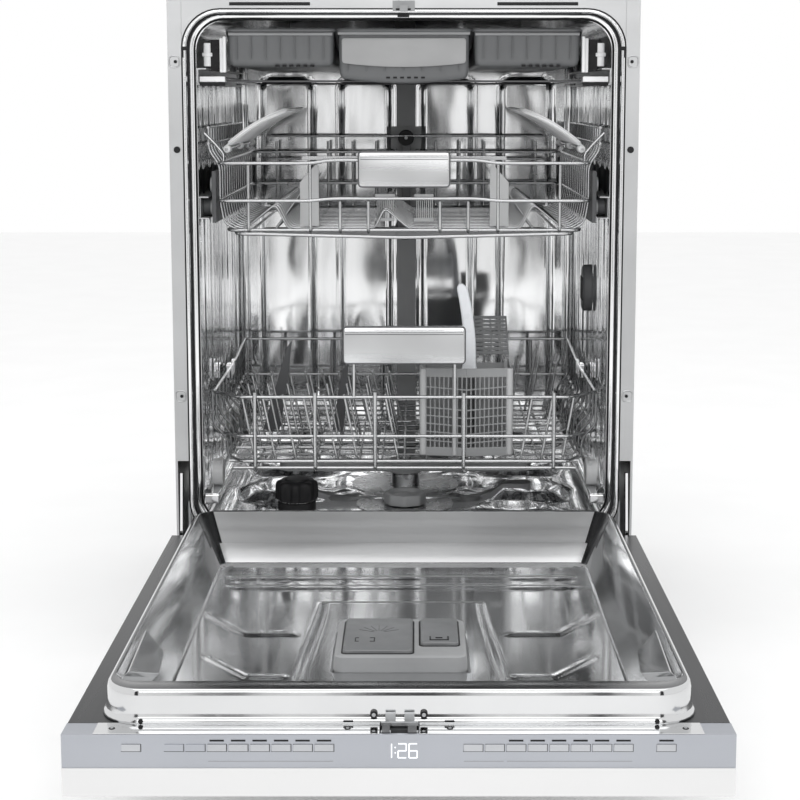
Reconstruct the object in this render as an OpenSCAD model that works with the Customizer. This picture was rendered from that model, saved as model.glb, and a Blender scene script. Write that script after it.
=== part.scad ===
// Panel-ready built-in dishwasher, door open, racks parked in the tub.
// X runs to the right, Y to the back, Z up. Heights are measured from the floor.
// Depths inside the modules are measured from the cabinet's front plane, and
// placed() moves everything so that the origin is under the middle of the model.

/* [Cabinet] */
// Width of the cabinet
cab_w = 598; // [596:1:600]
// Height of the cabinet above the floor
cab_h = 860; // [858:1:866]
// Depth of the cabinet behind its front plane
cab_d = 560; // [556:1:570]
// Thickness of the cabinet and tub sheet
sheet = 1.2; // [1:0.1:1.4]
// Radius of the tub's corners
corner_r = 40; // [30:1:45]

/* [Tub] */
// Half the inner width of the tub
tub_half = 268; // [267:0.5:269]
// Height of the tub floor
floor_z = 170; // [168:1:171]
// Height of the tub ceiling
ceiling_z = 835; // [834:1:836]
// Depth of the tub's back wall
back_y = 545; // [543:1:547]
// Depth of the widened mouth that holds the seal
mouth_d = 36; // [34:1:38]
// Half the width of the widened mouth
mouth_half = 276; // [275.5:0.5:276.5]

/* [Door] */
// Distance from the hinge pin to the tip of the door
door_reach = 697; // [690:1:700]
// Height of the hinge pin
pivot_z = 160; // [160:1:161]
// Distance of the hinge pin in front of the cabinet
pivot_gap = 21; // [21:1:22]
// Thickness of the door without its furniture panel
door_t = 31; // [30:1:32]
// Thickness of the furniture panel
panel_t = 26; // [16:1:26]
// Height of the liner's raised rim above the door's inner face
rim_h = 31; // [28:1:31]

/* [Controls] */
// Distance between neighbouring keys
key_pitch = 19; // [18.6:0.1:19.4]
// Distance from the middle of the panel to the first key of a bank
bank_start = 66; // [62:1:66]
// Distance from the middle of the panel to the outermost keys
end_key_x = 237; // [230:1:260]
// Width of a key
key_w = 16.6; // [15:0.1:17]
// Height of a key
key_h = 6.2; // [5:0.1:7]
// Clearance around a key in its slot
key_gap = 0.2; // [0.15:0.05:0.3]

/* [Racks] */
// Thickness of the rack wires
wire_d = 4.5; // [4:0.5:5]
// Half the width of the upper rack
upper_half = 243; // [240:1:243]
// Half the width of the lower rack
lower_half = 258; // [255:1:259]
// Depth of the racks' front wires
rack_front = 48; // [48:1:50]
// Depth of the racks' rear wires
rack_back = 500; // [495:1:502]
// Radius of the lower rack's wheels
wheel_r = 18; // [17:0.5:18]

/* [Water] */
// Depth of the spray arms' turning axis
arm_y = 270; // [268:1:272]
// Reach of the lower spray arm
lower_arm_r = 185; // [170:1:186]
// Reach of the middle spray arm
middle_arm_r = 205; // [180:1:210]
// Depth of the filter's axis
filter_y = 150; // [148:1:152]
// Radial clearance of every pin and post that turns in a bore
turn_gap = 0.05; // [0.02:0.01:0.08]

/* [Hidden] */
eps = 0.5;
half_w = cab_w / 2;
pivot_y = -pivot_gap;
tip_y = pivot_y - door_reach;
y_shift = -(tip_y + cab_d) / 2;
mouth_top = ceiling_z + 7;

// Door
door_top = pivot_z + 18;
door_bottom = door_top - door_t;
door_rear = pivot_y + 8;
liner_t = 1;
panel_face = tip_y + 1;
panel_back = tip_y + 28;
panel_wall = 2.5;
notch_front = pivot_y - 27;
notch_x = 278;
rim_top = door_top + rim_h;
key_z = door_bottom + 19;
dispenser_x = 66;
dispenser_y = [tip_y + 163, tip_y + 283];
dispenser_top = door_top + 15;
lid_t = 3;
lid_hinge_y = dispenser_y[1] - 10;

// Hinges
pin_r = 4;
bracket_x = [281, 284];
arm_x = [288, 291];
slot_x = [279.5, 296];
slot_z = [140, 265];

// Base
base_half = 275;
base_y = [60, 540];
base_z = [38, 110];
base_wall = 3;
foot_x = 250;
foot_y = [82, 515];
spigot_end = cab_d - 2;
drain_x = -100;
drain_z = 74;
drain_r = 10.5;
inlet_x = 180;
inlet_z = 78;
inlet_r = 13.2;
softener = [-148, 100];
neck_r = 24;
sump_bottom = 100;
filter_r = 33;
post_r = 8;

// Racks. Wires that cross differ a little in thickness, so that no two faces coincide.
seam = 0.3;
upright_d = wire_d - 0.5;
cross_d = wire_d - 0.7;
long_d = wire_d - 0.9;
ledge_top = floor_z + 40.7;
ledge_x = 246;
wheel_z = ledge_top + 0.3 + wheel_r;
wheel_x = [247, 261];
wheel_y = [95, 455];
rail_x = 256;
upper_roller_z = 593;
upper_roller_r = 12.5;
third_roller_z = 763;
third_roller_r = 8.5;
rail_gap = 0.5;
upper_floor_z = 563;
upper_mid_z = 603;
upper_rim_z = 651;
upper_xs = [for (i = [-4:4]) i * upper_half / 4.5];
shelf_x = 236;
shelf_z = 668;
shelf_len = 98;
shelf_angle = 30.5;
shelf_y = [90, 440];
lower_floor_z = 252;
lower_mid_z = 287;
lower_rim_z = 341;
chamfer = 40;
lower_front_half = lower_half - chamfer;
tine_len = 78;
tine_lean = 14;
tine_pitch = 25;
fold_y = 300;
fixed_tine_y = 150;
rear_tine_y = 345;
basket_x = [21, 146];
basket_y = [72, 165];
basket_z = [lower_floor_z + 2.6, 375];
basket_wall = 2.5;
lid_x = [98, 146];
lid_len = 88;
lid_rest = 30;
tray_y = [40, 500];
tray_wall = 2.5;

// ---- Shared shapes ----

module placed() {
    translate([0, y_shift, 0]) children();
}

// The children, and their mirror image on the other side of the middle plane
module both_sides() {
    children();
    mirror([1, 0, 0]) children();
}

// A box between two limits on each axis
module span(x, y, z) {
    translate([x[0], y[0], z[0]])
        cube([x[1] - x[0], y[1] - y[0], z[1] - z[0]]);
}

// A bar between two points, with square ends that reach past both by half its width
module wire(p, q, d = wire_d, sides = 4) {
    v = q - p;
    len = norm(v);
    translate(p)
        rotate([0, acos(v.z / len), atan2(v.y, v.x)])
            translate([0, 0, -d / 2])
                rotate([0, 0, 180 / sides])
                    cylinder(r = d / 2 / cos(180 / sides), h = len + d, $fn = sides);
}

module wire_path(points, d = wire_d) {
    for (i = [0:len(points) - 2]) wire(points[i], points[i + 1], d);
}

// Divides a wire rack into flat welded mats, a hair apart: its sides, front, rear and floor
module divided(x, y) difference() {
    z = [lower_floor_z - 30, ceiling_z];
    children();
    both_sides() span([x, x + seam], [rack_front - 20, rack_back + 20], z);
    for (cut = y) span([-x - seam / 2, x + seam / 2], [cut, cut + seam], z);
}

// A block with rounded corners in front view, running from y0 to y1
module tunnel(half, z0, z1, r, y0, y1) {
    translate([0, y1, 0]) rotate([90, 0, 0]) linear_extrude(y1 - y0) union() {
        translate([-half, z0 + r]) square([2 * half, z1 - z0 - 2 * r]);
        translate([-half + r, z0]) square([2 * half - 2 * r, z1 - z0]);
        for (x = [-half + r, half - r], z = [z0 + r, z1 - r])
            translate([x, z]) circle(r = r, $fn = 64);
    }
}

// A cylinder along X
module x_cylinder(r, x, y, z) {
    translate([x[0], y, z]) rotate([0, 90, 0])
        cylinder(r = r, h = x[1] - x[0], $fn = 48);
}

// A cylinder along Y
module y_cylinder(r, x, y, z) {
    translate([x, y[1], z]) rotate([90, 0, 0])
        cylinder(r = r, h = y[1] - y[0], $fn = 48);
}

// A cylinder along Z
module post(r, x, y, z) {
    translate([x, y, z[0]]) cylinder(r = r, h = z[1] - z[0], $fn = 64);
}

// The outline of the sump seen from above: two circles joined by a straight neck
module sump_block(r, z) {
    post(r, 0, arm_y, z);
    post(r - 10, 0, filter_y, z);
    span([-r + 20, r - 20], [filter_y, arm_y], z);
}

// ---- Cabinet and tub ----

module tub() color("gainsboro") placed() {
    difference() {
        union() {
            tunnel(mouth_half + sheet, floor_z - sheet, mouth_top + sheet, corner_r,
                0, mouth_d + sheet);
            tunnel(tub_half + sheet, floor_z - sheet, ceiling_z + sheet, corner_r,
                0, back_y + sheet);
        }
        tunnel(mouth_half, floor_z, mouth_top, corner_r - sheet, -eps, mouth_d);
        tunnel(tub_half, floor_z, ceiling_z, corner_r - sheet, -eps, back_y);
        sump_block(61, [floor_z - 5, floor_z + 5]);
        post(neck_r + 3, softener.x, softener.y, [floor_z - 5, floor_z + 5]);
    }
    // Pressed ledges that the lower rack's wheels roll on
    both_sides()
        span([ledge_x, tub_half - 1], [mouth_d, back_y], [ledge_top - 12, ledge_top]);
}

module cabinet_frame() color("lightgray") placed() {
    difference() {
        span([-half_w, half_w], [0, sheet], [112, cab_h]);
        tunnel(mouth_half + sheet, floor_z - sheet, mouth_top + sheet, corner_r,
            -eps, sheet + eps);
        both_sides() {
            span(slot_x, [-eps, sheet + eps], slot_z);
            for (z = [351, 781]) y_cylinder(2.25, 289, [-eps, sheet + eps], z);
        }
    }
    both_sides() {
        span([half_w - sheet, half_w], [0, cab_d], [base_z[0], cab_h]);
        span([half_w - 20, half_w], [cab_d - sheet, cab_d], [base_z[0], cab_h]);
    }
    // Top braces, the front one drilled for the worktop screws
    difference() {
        span([-half_w, half_w], [0, 34], [cab_h - sheet, cab_h]);
        for (x = [-200, 200]) post(2.5, x, 18, [cab_h - 5, cab_h + eps]);
    }
    span([-half_w, half_w], [cab_d - 60, cab_d], [cab_h - sheet, cab_h]);
    // Rear cross members
    for (z = [130, 600])
        span([-half_w, half_w], [cab_d - sheet, cab_d], [z, z + 40]);
}

module door_gasket() color("dimgray") placed() {
    lip = 5.5;
    difference() {
        tunnel(mouth_half, floor_z, mouth_top, corner_r - sheet, 9, 27);
        tunnel(mouth_half - lip, floor_z - 20, mouth_top - lip, corner_r - lip, 8, 28);
        span([-mouth_half, mouth_half], [8, 28], [floor_z - eps, floor_z + 20]);
    }
}

module insulation_blanket() color("darkslategray") placed() {
    felt = 7;
    side = tub_half + sheet;
    both_sides()
        span([side, side + felt], [mouth_d + 4, back_y], [floor_z + 30, ceiling_z - 45]);
    span([-230, 230], [mouth_d + 4, back_y], [ceiling_z + sheet, ceiling_z + sheet + felt]);
    span([-225, 225], [back_y + sheet, back_y + sheet + felt],
        [floor_z + 40, ceiling_z - 42]);
}

// ---- Base ----

module base_tray() color("dimgray") placed() difference() {
    span([-base_half, base_half], base_y, base_z);
    span([-base_half + base_wall, base_half - base_wall],
        [base_y[0] + base_wall, base_y[1] - base_wall], [base_z[0] + base_wall, base_z[1] + eps]);
    y_cylinder(drain_r + 1, drain_x, [base_y[1] - 5, base_y[1] + eps], drain_z);
    y_cylinder(inlet_r + 1, inlet_x, [base_y[1] - 5, base_y[1] + eps], inlet_z);
}

module leveling_feet() color("black") placed()
    for (x = [-foot_x, foot_x], y = foot_y) {
        post(20, x, y, [0, 9]);
        post(6, x, y, [8, base_z[0]]);
        translate([x, y, 9 - eps]) cylinder(r = 12, h = 9, $fn = 6);
    }

module toe_kick() color("dimgray") placed() {
    kick_half = half_w - sheet - 0.4;
    span([-kick_half, kick_half], [20, 21.5], [8, 108]);
    span([-kick_half, kick_half], [20, 34], [106.5, 108]);
    both_sides() span([270, 285], [21, 58], [70, 90]);
}

module sump_housing() color("gray") placed() difference() {
    union() {
        sump_block(60, [sump_bottom, floor_z]);
        sump_block(78, [floor_z, floor_z + 1.5]);
        post(20, 0, arm_y, [floor_z, floor_z + 18]);
        post(post_r, 0, arm_y, [floor_z, floor_z + 42]);
    }
    post(filter_r + 0.5, 0, filter_y, [sump_bottom + 8, floor_z + 5]);
    // Sump bowl around the spray arm's riser
    difference() {
        post(50, 0, arm_y, [sump_bottom + 8, floor_z - 12]);
        post(16, 0, arm_y, [sump_bottom, floor_z]);
    }
}

module softener_tank() color("lightgray") placed() {
    span([-225, -96], [64, 215], [45, 150]);
    difference() {
        post(neck_r, softener.x, softener.y, [149, floor_z + 28]);
        post(neck_r - 3, softener.x, softener.y, [156, floor_z + 30]);
    }
}

module wash_pumps() color("silver") placed() {
    // Circulation pump and its motor
    x_cylinder(31, [66, 120], 300, 74);
    x_cylinder(26, [119, 205], 300, 74);
    span([90, 190], [285, 315], [base_z[0] + base_wall, 60]);
    // Drain pump with its spigot to the back
    x_cylinder(24, [-150, -80], 380, drain_z);
    y_cylinder(drain_r + 2, drain_x, [380, spigot_end - 28], drain_z);
    y_cylinder(drain_r, drain_x, [spigot_end - 29, spigot_end], drain_z);
    span([-145, -90], [368, 392], [base_z[0] + base_wall, 60]);
}

module inlet_valve() color("white") placed() {
    span([inlet_x - 24, inlet_x + 24], [480, 530], [base_z[0] + base_wall, 104]);
    y_cylinder(inlet_r, inlet_x, [529, spigot_end], inlet_z);
}

module terminal_box() color("silver") placed() difference() {
    span([180, 268], [24, 59], [42, 104]);
    span([182, 266], [26, 57], [44, 102]);
    post(11, 224, 41, [40, 46]);
}

// ---- Inside the tub ----

module water_duct() color("gray") placed() {
    difference() {
        union() {
            span([-15, 15], [529, back_y], [floor_z + 2, ceiling_z]);
            span([-24, 24], [523, back_y], [655, 690]);
            y_cylinder(12, 0, [512, 524], 676);
            span([-15, 15], [arm_y, back_y], [ceiling_z - 13, ceiling_z]);
        }
        y_cylinder(8.5, 0, [511, 530], 676);
    }
    post(5, 0, arm_y + 15, [ceiling_z - 29, ceiling_z - 12]);
}

// One channel on the right wall that a roller of radius r runs in
module rail(r, z) {
    lip = 1.6;
    top = z + r + rail_gap;
    low = z - r - rail_gap;
    span([tub_half - lip, tub_half], [46, 505], [low - lip, top + lip]);
    span([rail_x, tub_half], [46, 505], [low - lip, low]);
    span([rail_x, tub_half], [46, 505], [top, top + lip]);
}

module rack_rails() color("silver") placed() both_sides() {
    rail(upper_roller_r, upper_roller_z);
    rail(third_roller_r, third_roller_z);
}

module latch_striker() color("silver") placed() {
    span([-14, 14], [-1.4, 0], [844, 857]);
    span([-5, 5], [-12, -1], [847, 851]);
    span([-5, 5], [-12, -9], [843, 850]);
}

module filter_cup() color("gray") placed() {
    post(filter_r, 0, filter_y, [sump_bottom + 10, floor_z + 3]);
    translate([0, filter_y, floor_z + 2.5]) cylinder(r = 30, h = 12.5, $fn = 8);
    span([-24, 24], [filter_y - 5, filter_y + 5], [floor_z + 14, floor_z + 22]);
}

module softener_cap() color("black") placed() difference() {
    union() {
        post(30, softener.x, softener.y, [floor_z + 4, floor_z + 38]);
        for (a = [0:60:300])
            translate([softener.x, softener.y, 0]) rotate([0, 0, a])
                post(6.5, 31.5, 0, [floor_z + 5, floor_z + 46]);
        post(23, softener.x, softener.y, [floor_z + 30, floor_z + 50]);
    }
    post(neck_r + 0.5, softener.x, softener.y, [floor_z, floor_z + 29]);
}

// A hollow-looking spray arm: a long blade with round ends and a hub
module spray_arm(reach, y, z, hub_r, bore_r, width = 34) {
    difference() {
        union() {
            span([-reach + width / 2, reach - width / 2], [y - width / 2, y + width / 2], z);
            for (x = [-1, 1]) post(width / 2, x * (reach - width / 2), y, z);
            post(hub_r, 0, y, [z[0] - 2, z[1] + 2]);
        }
        post(bore_r, 0, y, [z[0] - 5, z[1] + 5]);
    }
}

module lower_spray_arm() color("gray") placed()
    spray_arm(lower_arm_r, arm_y, [floor_z + 23, floor_z + 35], 26, post_r + turn_gap);

module middle_spray_arm() color("gray") placed()
    spray_arm(middle_arm_r, arm_y, [upper_floor_z - 24, upper_floor_z - 14], 22,
        6 + turn_gap);

module ceiling_sprayer() color("gray") placed() difference() {
    post(38, 0, arm_y + 15, [ceiling_z - 27, ceiling_z - 18]);
    post(5 + turn_gap, 0, arm_y + 15, [ceiling_z - 30, ceiling_z - 15]);
}

// ---- Hinges ----

module hinge_brackets() color("silver") placed() both_sides() {
    span(bracket_x, [pivot_y - 6, 60], [pivot_z - 7, pivot_z + 7]);
    span(bracket_x, [6, 60], [126, 210]);
    span([bracket_x[0], half_w - sheet], [6, 60], [126, 128.5]);
    x_cylinder(pin_r, [bracket_x[0], arm_x[1] + 2], pivot_y, pivot_z);
}

module door_springs() color("silver") placed() both_sides() {
    post(6, 288, 112, [60, 190]);
    span([287, 289], [111, 113], [189, 215]);
    span([283, half_w - sheet], [108, 116], [54, 60.5]);
}

module hinge_arms() color("silver") placed() both_sides() difference() {
    union() {
        x_cylinder(9, arm_x, pivot_y, pivot_z);
        span(arm_x, [-210, pivot_y], [pivot_z - 6, pivot_z + 6]);
        translate([arm_x[0], pivot_y, pivot_z]) rotate([-8, 0, 0])
            translate([0, -6, 0]) cube([arm_x[1] - arm_x[0], 12, 92]);
    }
    x_cylinder(pin_r + turn_gap, [arm_x[0] - 1, arm_x[1] + 1], pivot_y, pivot_z);
}

// ---- Door ----

// The clearance that lets the hinges pass through the door's rear corners
module hinge_notches() both_sides()
    span([notch_x, half_w + eps], [notch_front, door_rear + eps],
        [door_bottom - 5, door_top + 5]);

module door_shell() color("silver") placed() difference() {
    span([-half_w + eps, half_w - eps], [panel_back, door_rear], [door_bottom, door_top - liner_t]);
    span([-half_w + eps + sheet, half_w - eps - sheet], [panel_back - eps, door_rear - sheet],
        [door_bottom + sheet, door_top + eps]);
    hinge_notches();
}

// The corner posts of a slab with rounded corners, for a hull to join
module corner_posts(half, y, r, z) {
    for (sx = [-1, 1], cy = [y[0] + r, y[1] - r])
        translate([sx * (half - r), cy, z[0]])
            cylinder(r = r, h = z[1] - z[0], $fn = 32);
}

// The liner's raised block, and the dished recess in it, each offset by t
module liner_block(t) {
    y = [tip_y + 24 + t, pivot_y - 13 - t];
    hull() {
        corner_posts(268 - t, y, 36 - t, [door_top - 1, door_top]);
        corner_posts(263 - t, [y[0] + 2, y[1] - 2], 33 - t, [rim_top - 1 - t, rim_top - t]);
    }
}

module liner_recess(t) {
    y = [tip_y + 50 - t, pivot_y - 25 + t];
    low = door_top - 6 - t;
    hull() {
        corner_posts(257 + t, y, 26 + t, [rim_top - eps, rim_top + eps]);
        corner_posts(222 + t, [y[0] + 26, y[1] - 110], 14 + t, [low, low + eps]);
    }
}

module door_liner() color("whitesmoke") placed() difference() {
    union() {
        difference() {
            span([-half_w + eps, half_w - eps], [panel_back, door_rear], [door_top - liner_t, door_top]);
            hinge_notches();
        }
        liner_block(0);
        difference() {
            liner_recess(liner_t);
            span([-half_w, half_w], [tip_y, 0], [door_top - eps, cab_h]);
        }
    }
    liner_recess(0);
    difference() {
        translate([0, 0, -2 * liner_t]) liner_block(liner_t);
        liner_recess(liner_t);
    }
    difference() {
        liner_block(liner_t);
        liner_recess(liner_t);
    }
    span([-dispenser_x, dispenser_x], dispenser_y, [door_bottom, rim_top]);
    span([-17, 18], [tip_y, tip_y + 50], [door_bottom, door_top + eps]);
    span([-half_w, half_w], [tip_y, panel_back], [door_bottom, door_top]);
}

// Where the keys stand, counted outwards from the middle of the panel
function bank_x(i) = bank_start + key_pitch * i;

module key_slot(x) {
    span([x - key_w / 2 - key_gap, x + key_w / 2 + key_gap],
        [tip_y, panel_face + panel_wall + eps],
        [key_z - key_h / 2 - key_gap, key_z + key_h / 2 + key_gap]);
}

module control_panel() color("lightsteelblue") placed() {
    difference() {
        span([-half_w, half_w], [panel_face, panel_back], [door_bottom, door_top]);
        span([-half_w + 3, half_w - 3], [panel_face + panel_wall, panel_back + eps],
            [door_bottom + 2, door_top - 2]);
        span([-17, 18], [tip_y + 4, panel_back + eps], [door_top - 20, door_top + eps]);
        for (i = [0:5]) key_slot(-bank_x(i));
        for (i = [0:7]) key_slot(bank_x(i));
        key_slot(-end_key_x);
        key_slot(end_key_x);
    }
    // Two fixed blank keys at the outer end of the left bank
    for (i = [6, 7])
        span([-bank_x(i) - key_w / 2, -bank_x(i) + key_w / 2], [tip_y + 0.2, panel_face + 1],
            [key_z - key_h / 2, key_z + key_h / 2]);
}

// A push key: its cap stands in the slot, and a collar behind the wall holds it in
module key_at(x) color("silver") placed() {
    wall_back = panel_face + panel_wall;
    span([x - key_w / 2, x + key_w / 2], [tip_y, wall_back + 1],
        [key_z - key_h / 2, key_z + key_h / 2]);
    span([x - key_w / 2 - 0.9, x + key_w / 2 + 0.9], [wall_back + 0.2, wall_back + 2],
        [key_z - key_h / 2 - 1.2, key_z + key_h / 2 + 1.2]);
}

module furniture_panel() color("white") placed()
    span([-half_w, half_w], [tip_y, door_rear], [door_bottom - panel_t, door_bottom]);

module door_latch() color("dimgray") placed() difference() {
    span([-15, 16], [tip_y + 4.5, tip_y + 47], [door_top - 19, door_top + 1]);
    span([-8, 8], [tip_y + 4, tip_y + 18], [door_top - 14, door_top + 2]);
    span([-8, 8], [tip_y + 17, tip_y + 30], [door_top - 2, door_top + 2]);
}

module dispenser_body() color("gray") placed() difference() {
    span([-dispenser_x, dispenser_x], dispenser_y, [door_bottom + 3, dispenser_top]);
    // Detergent cup and rinse-aid filler
    span([-50, 5], [dispenser_y[0] + 17, dispenser_y[1] - 20], [door_bottom + 14, dispenser_top + eps]);
    span([26, 52], [dispenser_y[0] + 45, dispenser_y[1] - 25], [door_bottom + 20, dispenser_top + eps]);
}

// A flat lid on the dispenser, hinged at its rear edge
module dispenser_lid(x, front) {
    span(x, [front, lid_hinge_y], [dispenser_top + 0.2, dispenser_top + 0.2 + lid_t]);
    x_cylinder(2, x, lid_hinge_y, dispenser_top + 2.4);
}

module detergent_lid() color("darkgray") placed()
    dispenser_lid([-57, 12], dispenser_y[0] + 9);

module rinse_aid_lid() color("darkgray") placed()
    dispenser_lid([20, 58], dispenser_y[0] + 32);

// ---- Third rack ----

module third_rack_frame() color("silver") placed() {
    for (y = [60, 480]) wire([-240, y, 754], [240, y, 754], 5);
    both_sides() {
        span([237, 245], [45, 500], [750, 768]);
        for (y = [46, 494]) span([229, 245], [y, y + 5], [755, 800]);
        for (y = [70, 470]) x_cylinder(third_roller_r, [244, tub_half - 2], y, third_roller_z);
    }
}

module tray(x, low, high) {
    difference() {
        span(x, tray_y, [low, high]);
        span([x[0] + tray_wall, x[1] - tray_wall], [tray_y[0] + tray_wall, tray_y[1] - tray_wall],
            [low + tray_wall, high + eps]);
        // The side and rear walls stand lower than the front
        span([x[0] - eps, x[1] + eps], [tray_y[0] + 12, tray_y[1] + eps], [high - 20, high + eps]);
    }
}

module third_rack_trays() color("dimgray") placed() {
    tray([-85, 85], 760, 823);
    both_sides() tray([90, 228], 776, 823);
}

// ---- Upper rack ----

// A rectangular loop of wire at one height
module wire_loop(half, z) {
    wire_path([[-half, rack_front, z], [half, rack_front, z], [half, rack_back, z],
        [-half, rack_back, z], [-half, rack_front, z]]);
}

module upper_rack() color("silver") placed() divided(226, [rack_front + 4.5, rack_back - 6]) {
    for (z = [upper_floor_z, upper_mid_z, upper_rim_z]) wire_loop(upper_half, z);
    for (x = upper_xs) {
        wire([x, rack_front, upper_floor_z + 2], [x, rack_back, upper_floor_z + 2], long_d);
        for (y = [rack_front, rack_back])
            wire([x, y, upper_floor_z], [x, y, upper_rim_z], upright_d);
    }
    for (i = [1:7]) {
        y = rack_front + i * (rack_back - rack_front) / 8;
        wire([-upper_half, y, upper_floor_z], [upper_half, y, upper_floor_z], cross_d);
        both_sides() wire([upper_half, y, upper_floor_z], [upper_half, y, upper_rim_z], upright_d);
    }
    // Rods that the cup shelves turn on, and their posts
    both_sides() {
        y_cylinder(3, shelf_x, [shelf_y[0] - 12, shelf_y[1] + 12], shelf_z);
        for (y = [shelf_y[0] - 10, shelf_y[1] + 10])
            span([shelf_x - 5, upper_half - 1], [y - 2, y + 2], [upper_rim_z - 1, shelf_z + 5]);
    }
    // Feed pipe and the post of the middle spray arm
    span([-11, 11], [arm_y - 12, rack_back + 6], [upper_floor_z - 11, upper_floor_z + 1]);
    post(6, 0, arm_y, [upper_floor_z - 28, upper_floor_z - 10]);
    span([-7, 7], [rack_back - 4, rack_back + 6], [upper_floor_z - 8, 665]);
}

module upper_rack_handle() color("silver") placed() {
    span([-61, 61], [rack_front - 9, rack_front - 3], [620, 667]);
    for (x = [-40, 40]) span([x - 6, x + 6], [rack_front - 4, rack_front + 6], [654, 664]);
}

// The left shelf, drawn around its hinge line
module cup_shelf_local() {
    slat = 9;
    difference() {
        union() {
            span([-4, shelf_len], shelf_y, [3.5, 7]);
            for (y = [shelf_y[0], 250, shelf_y[1] - 24])
                y_cylinder(6.5, 0, [y, y + 24], 0);
        }
        y_cylinder(3 + turn_gap, 0, [shelf_y[0] - 5, shelf_y[1] + 5], 0);
        for (i = [0:9])
            span([14, shelf_len - 12], [shelf_y[0] + 24 + i * 33, shelf_y[0] + 24 + i * 33 + slat], [0, 9]);
    }
}

module cup_shelf_placed() translate([-shelf_x, 0, shelf_z]) rotate([0, -shelf_angle, 0])
    cup_shelf_local();

module cup_shelf_left() color("whitesmoke") placed() cup_shelf_placed();

module cup_shelf_right() color("whitesmoke") placed() mirror([1, 0, 0]) cup_shelf_placed();

module upper_rack_carriers() color("black") placed() both_sides() {
    span([248, 253], [62, 486], [572, 640]);
    for (y = [85, 275, 465]) x_cylinder(upper_roller_r, [252, tub_half - 2], y, upper_roller_z);
}

// ---- Lower rack ----

module lower_loop(z) {
    wire_path([[-lower_front_half, rack_front, z], [lower_front_half, rack_front, z],
        [lower_half, rack_front + chamfer, z], [lower_half, rack_back, z],
        [-lower_half, rack_back, z], [-lower_half, rack_front + chamfer, z],
        [-lower_front_half, rack_front, z]]);
}

// A row of leaning tines along X, standing on its own rod
module tine_row(x, y) {
    wire([x[0] - 6, y, lower_floor_z + 6], [x[1] + 6, y, lower_floor_z + 6]);
    for (tx = [x[0]:tine_pitch:x[1]])
        wire([tx, y, lower_floor_z + 6],
            [tx - tine_len * sin(tine_lean), y, lower_floor_z + 6 + tine_len * cos(tine_lean)], 4);
}

// Where the floor wires that run front to back lie
function lower_x(i) = i * lower_front_half / 4.3;

// Short posts that carry a fixed tine row on two of the floor wires
module tine_posts(wires, y) for (i = wires)
    span([lower_x(i) - 1.5, lower_x(i) + 1.5], [y - 1.5, y + 1.5],
        [lower_floor_z, lower_floor_z + 6]);

module lower_rack() color("silver") placed()
    divided(246, [rack_front + 6, rack_back - 8]) difference() {
        lower_wires();
        // The tine rows stand a hair above the floor
        span([-240, 240], [rack_front + 20, rack_back - 20],
            [lower_floor_z + 2.6, lower_floor_z + 2.6 + seam]);
    }

module lower_wires() {
    for (z = [lower_floor_z, lower_mid_z, lower_rim_z]) lower_loop(z);
    for (i = [-4:4]) {
        x = lower_x(i);
        wire([x, rack_front, lower_floor_z], [x, rack_back, lower_floor_z], long_d);
        for (y = [rack_front, rack_back])
            wire([x, y, lower_floor_z], [x, y, lower_rim_z], upright_d);
    }
    for (i = [0:6]) {
        y = rack_front + chamfer + 16 + i * (rack_back - rack_front - chamfer - 16) / 7;
        wire([-lower_half, y, lower_floor_z - 3], [lower_half, y, lower_floor_z - 3], cross_d);
        both_sides()
            wire([lower_half, y, lower_floor_z - 2], [lower_half, y, lower_rim_z], upright_d);
    }
    both_sides() wire([67, rack_front, lower_rim_z], [67, rack_front, 417.5]);
    tine_posts([-4, -1], fixed_tine_y);
    tine_row([-205, -5], fixed_tine_y);
    tine_posts([1, 4], rear_tine_y);
    tine_row([25, 225], rear_tine_y);
}

module lower_rack_handle() color("silver") placed() {
    span([-81, 81], [rack_front - 10, rack_front - 3], [387, 437]);
    both_sides() span([60, 74], [rack_front - 4, rack_front + 6], [420, 434]);
}

module lower_rack_wheels() color("gray") placed() both_sides() for (y = wheel_y) {
    x_cylinder(wheel_r, wheel_x, y, wheel_z);
    span([250, 254], [y - 14, y + 14], [wheel_z, lower_floor_z - 5.1]);
}

module lower_tines() color("silver") placed() {
    tine_row([-205, -5], fold_y);
    for (x = [-216, 6]) x_cylinder(2, [x, x + 6], fold_y, lower_floor_z + 6);
}

module cutlery_basket() color("gray") placed() {
    difference() {
        span(basket_x, basket_y, basket_z);
        for (cell_x = [[basket_x[0] + basket_wall, 70], [100, basket_x[1] - basket_wall]])
            span(cell_x, [basket_y[0] + basket_wall, basket_y[1] - basket_wall],
                [basket_z[0] + basket_wall, basket_z[1] + eps]);
        span([72.5, 97.5], [basket_y[0] + basket_wall, 114], [basket_z[0] + basket_wall, basket_z[1] + eps]);
        span([72.5, 97.5], [122, basket_y[1] - basket_wall], [basket_z[0] + basket_wall, basket_z[1] + eps]);
    }
    span([76, 94], [115, 121], [basket_z[1] - 10, 486]);
}

module basket_lid() color("gray") placed()
    translate([0, basket_y[1] + 3, basket_z[1] + 3]) rotate([lid_rest, 0, 0]) {
        span(lid_x, [0, lid_len], [-1.2, 1.2]);
        x_cylinder(2.2, lid_x, 0, 0);
    }

// ---- Build ----

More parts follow.
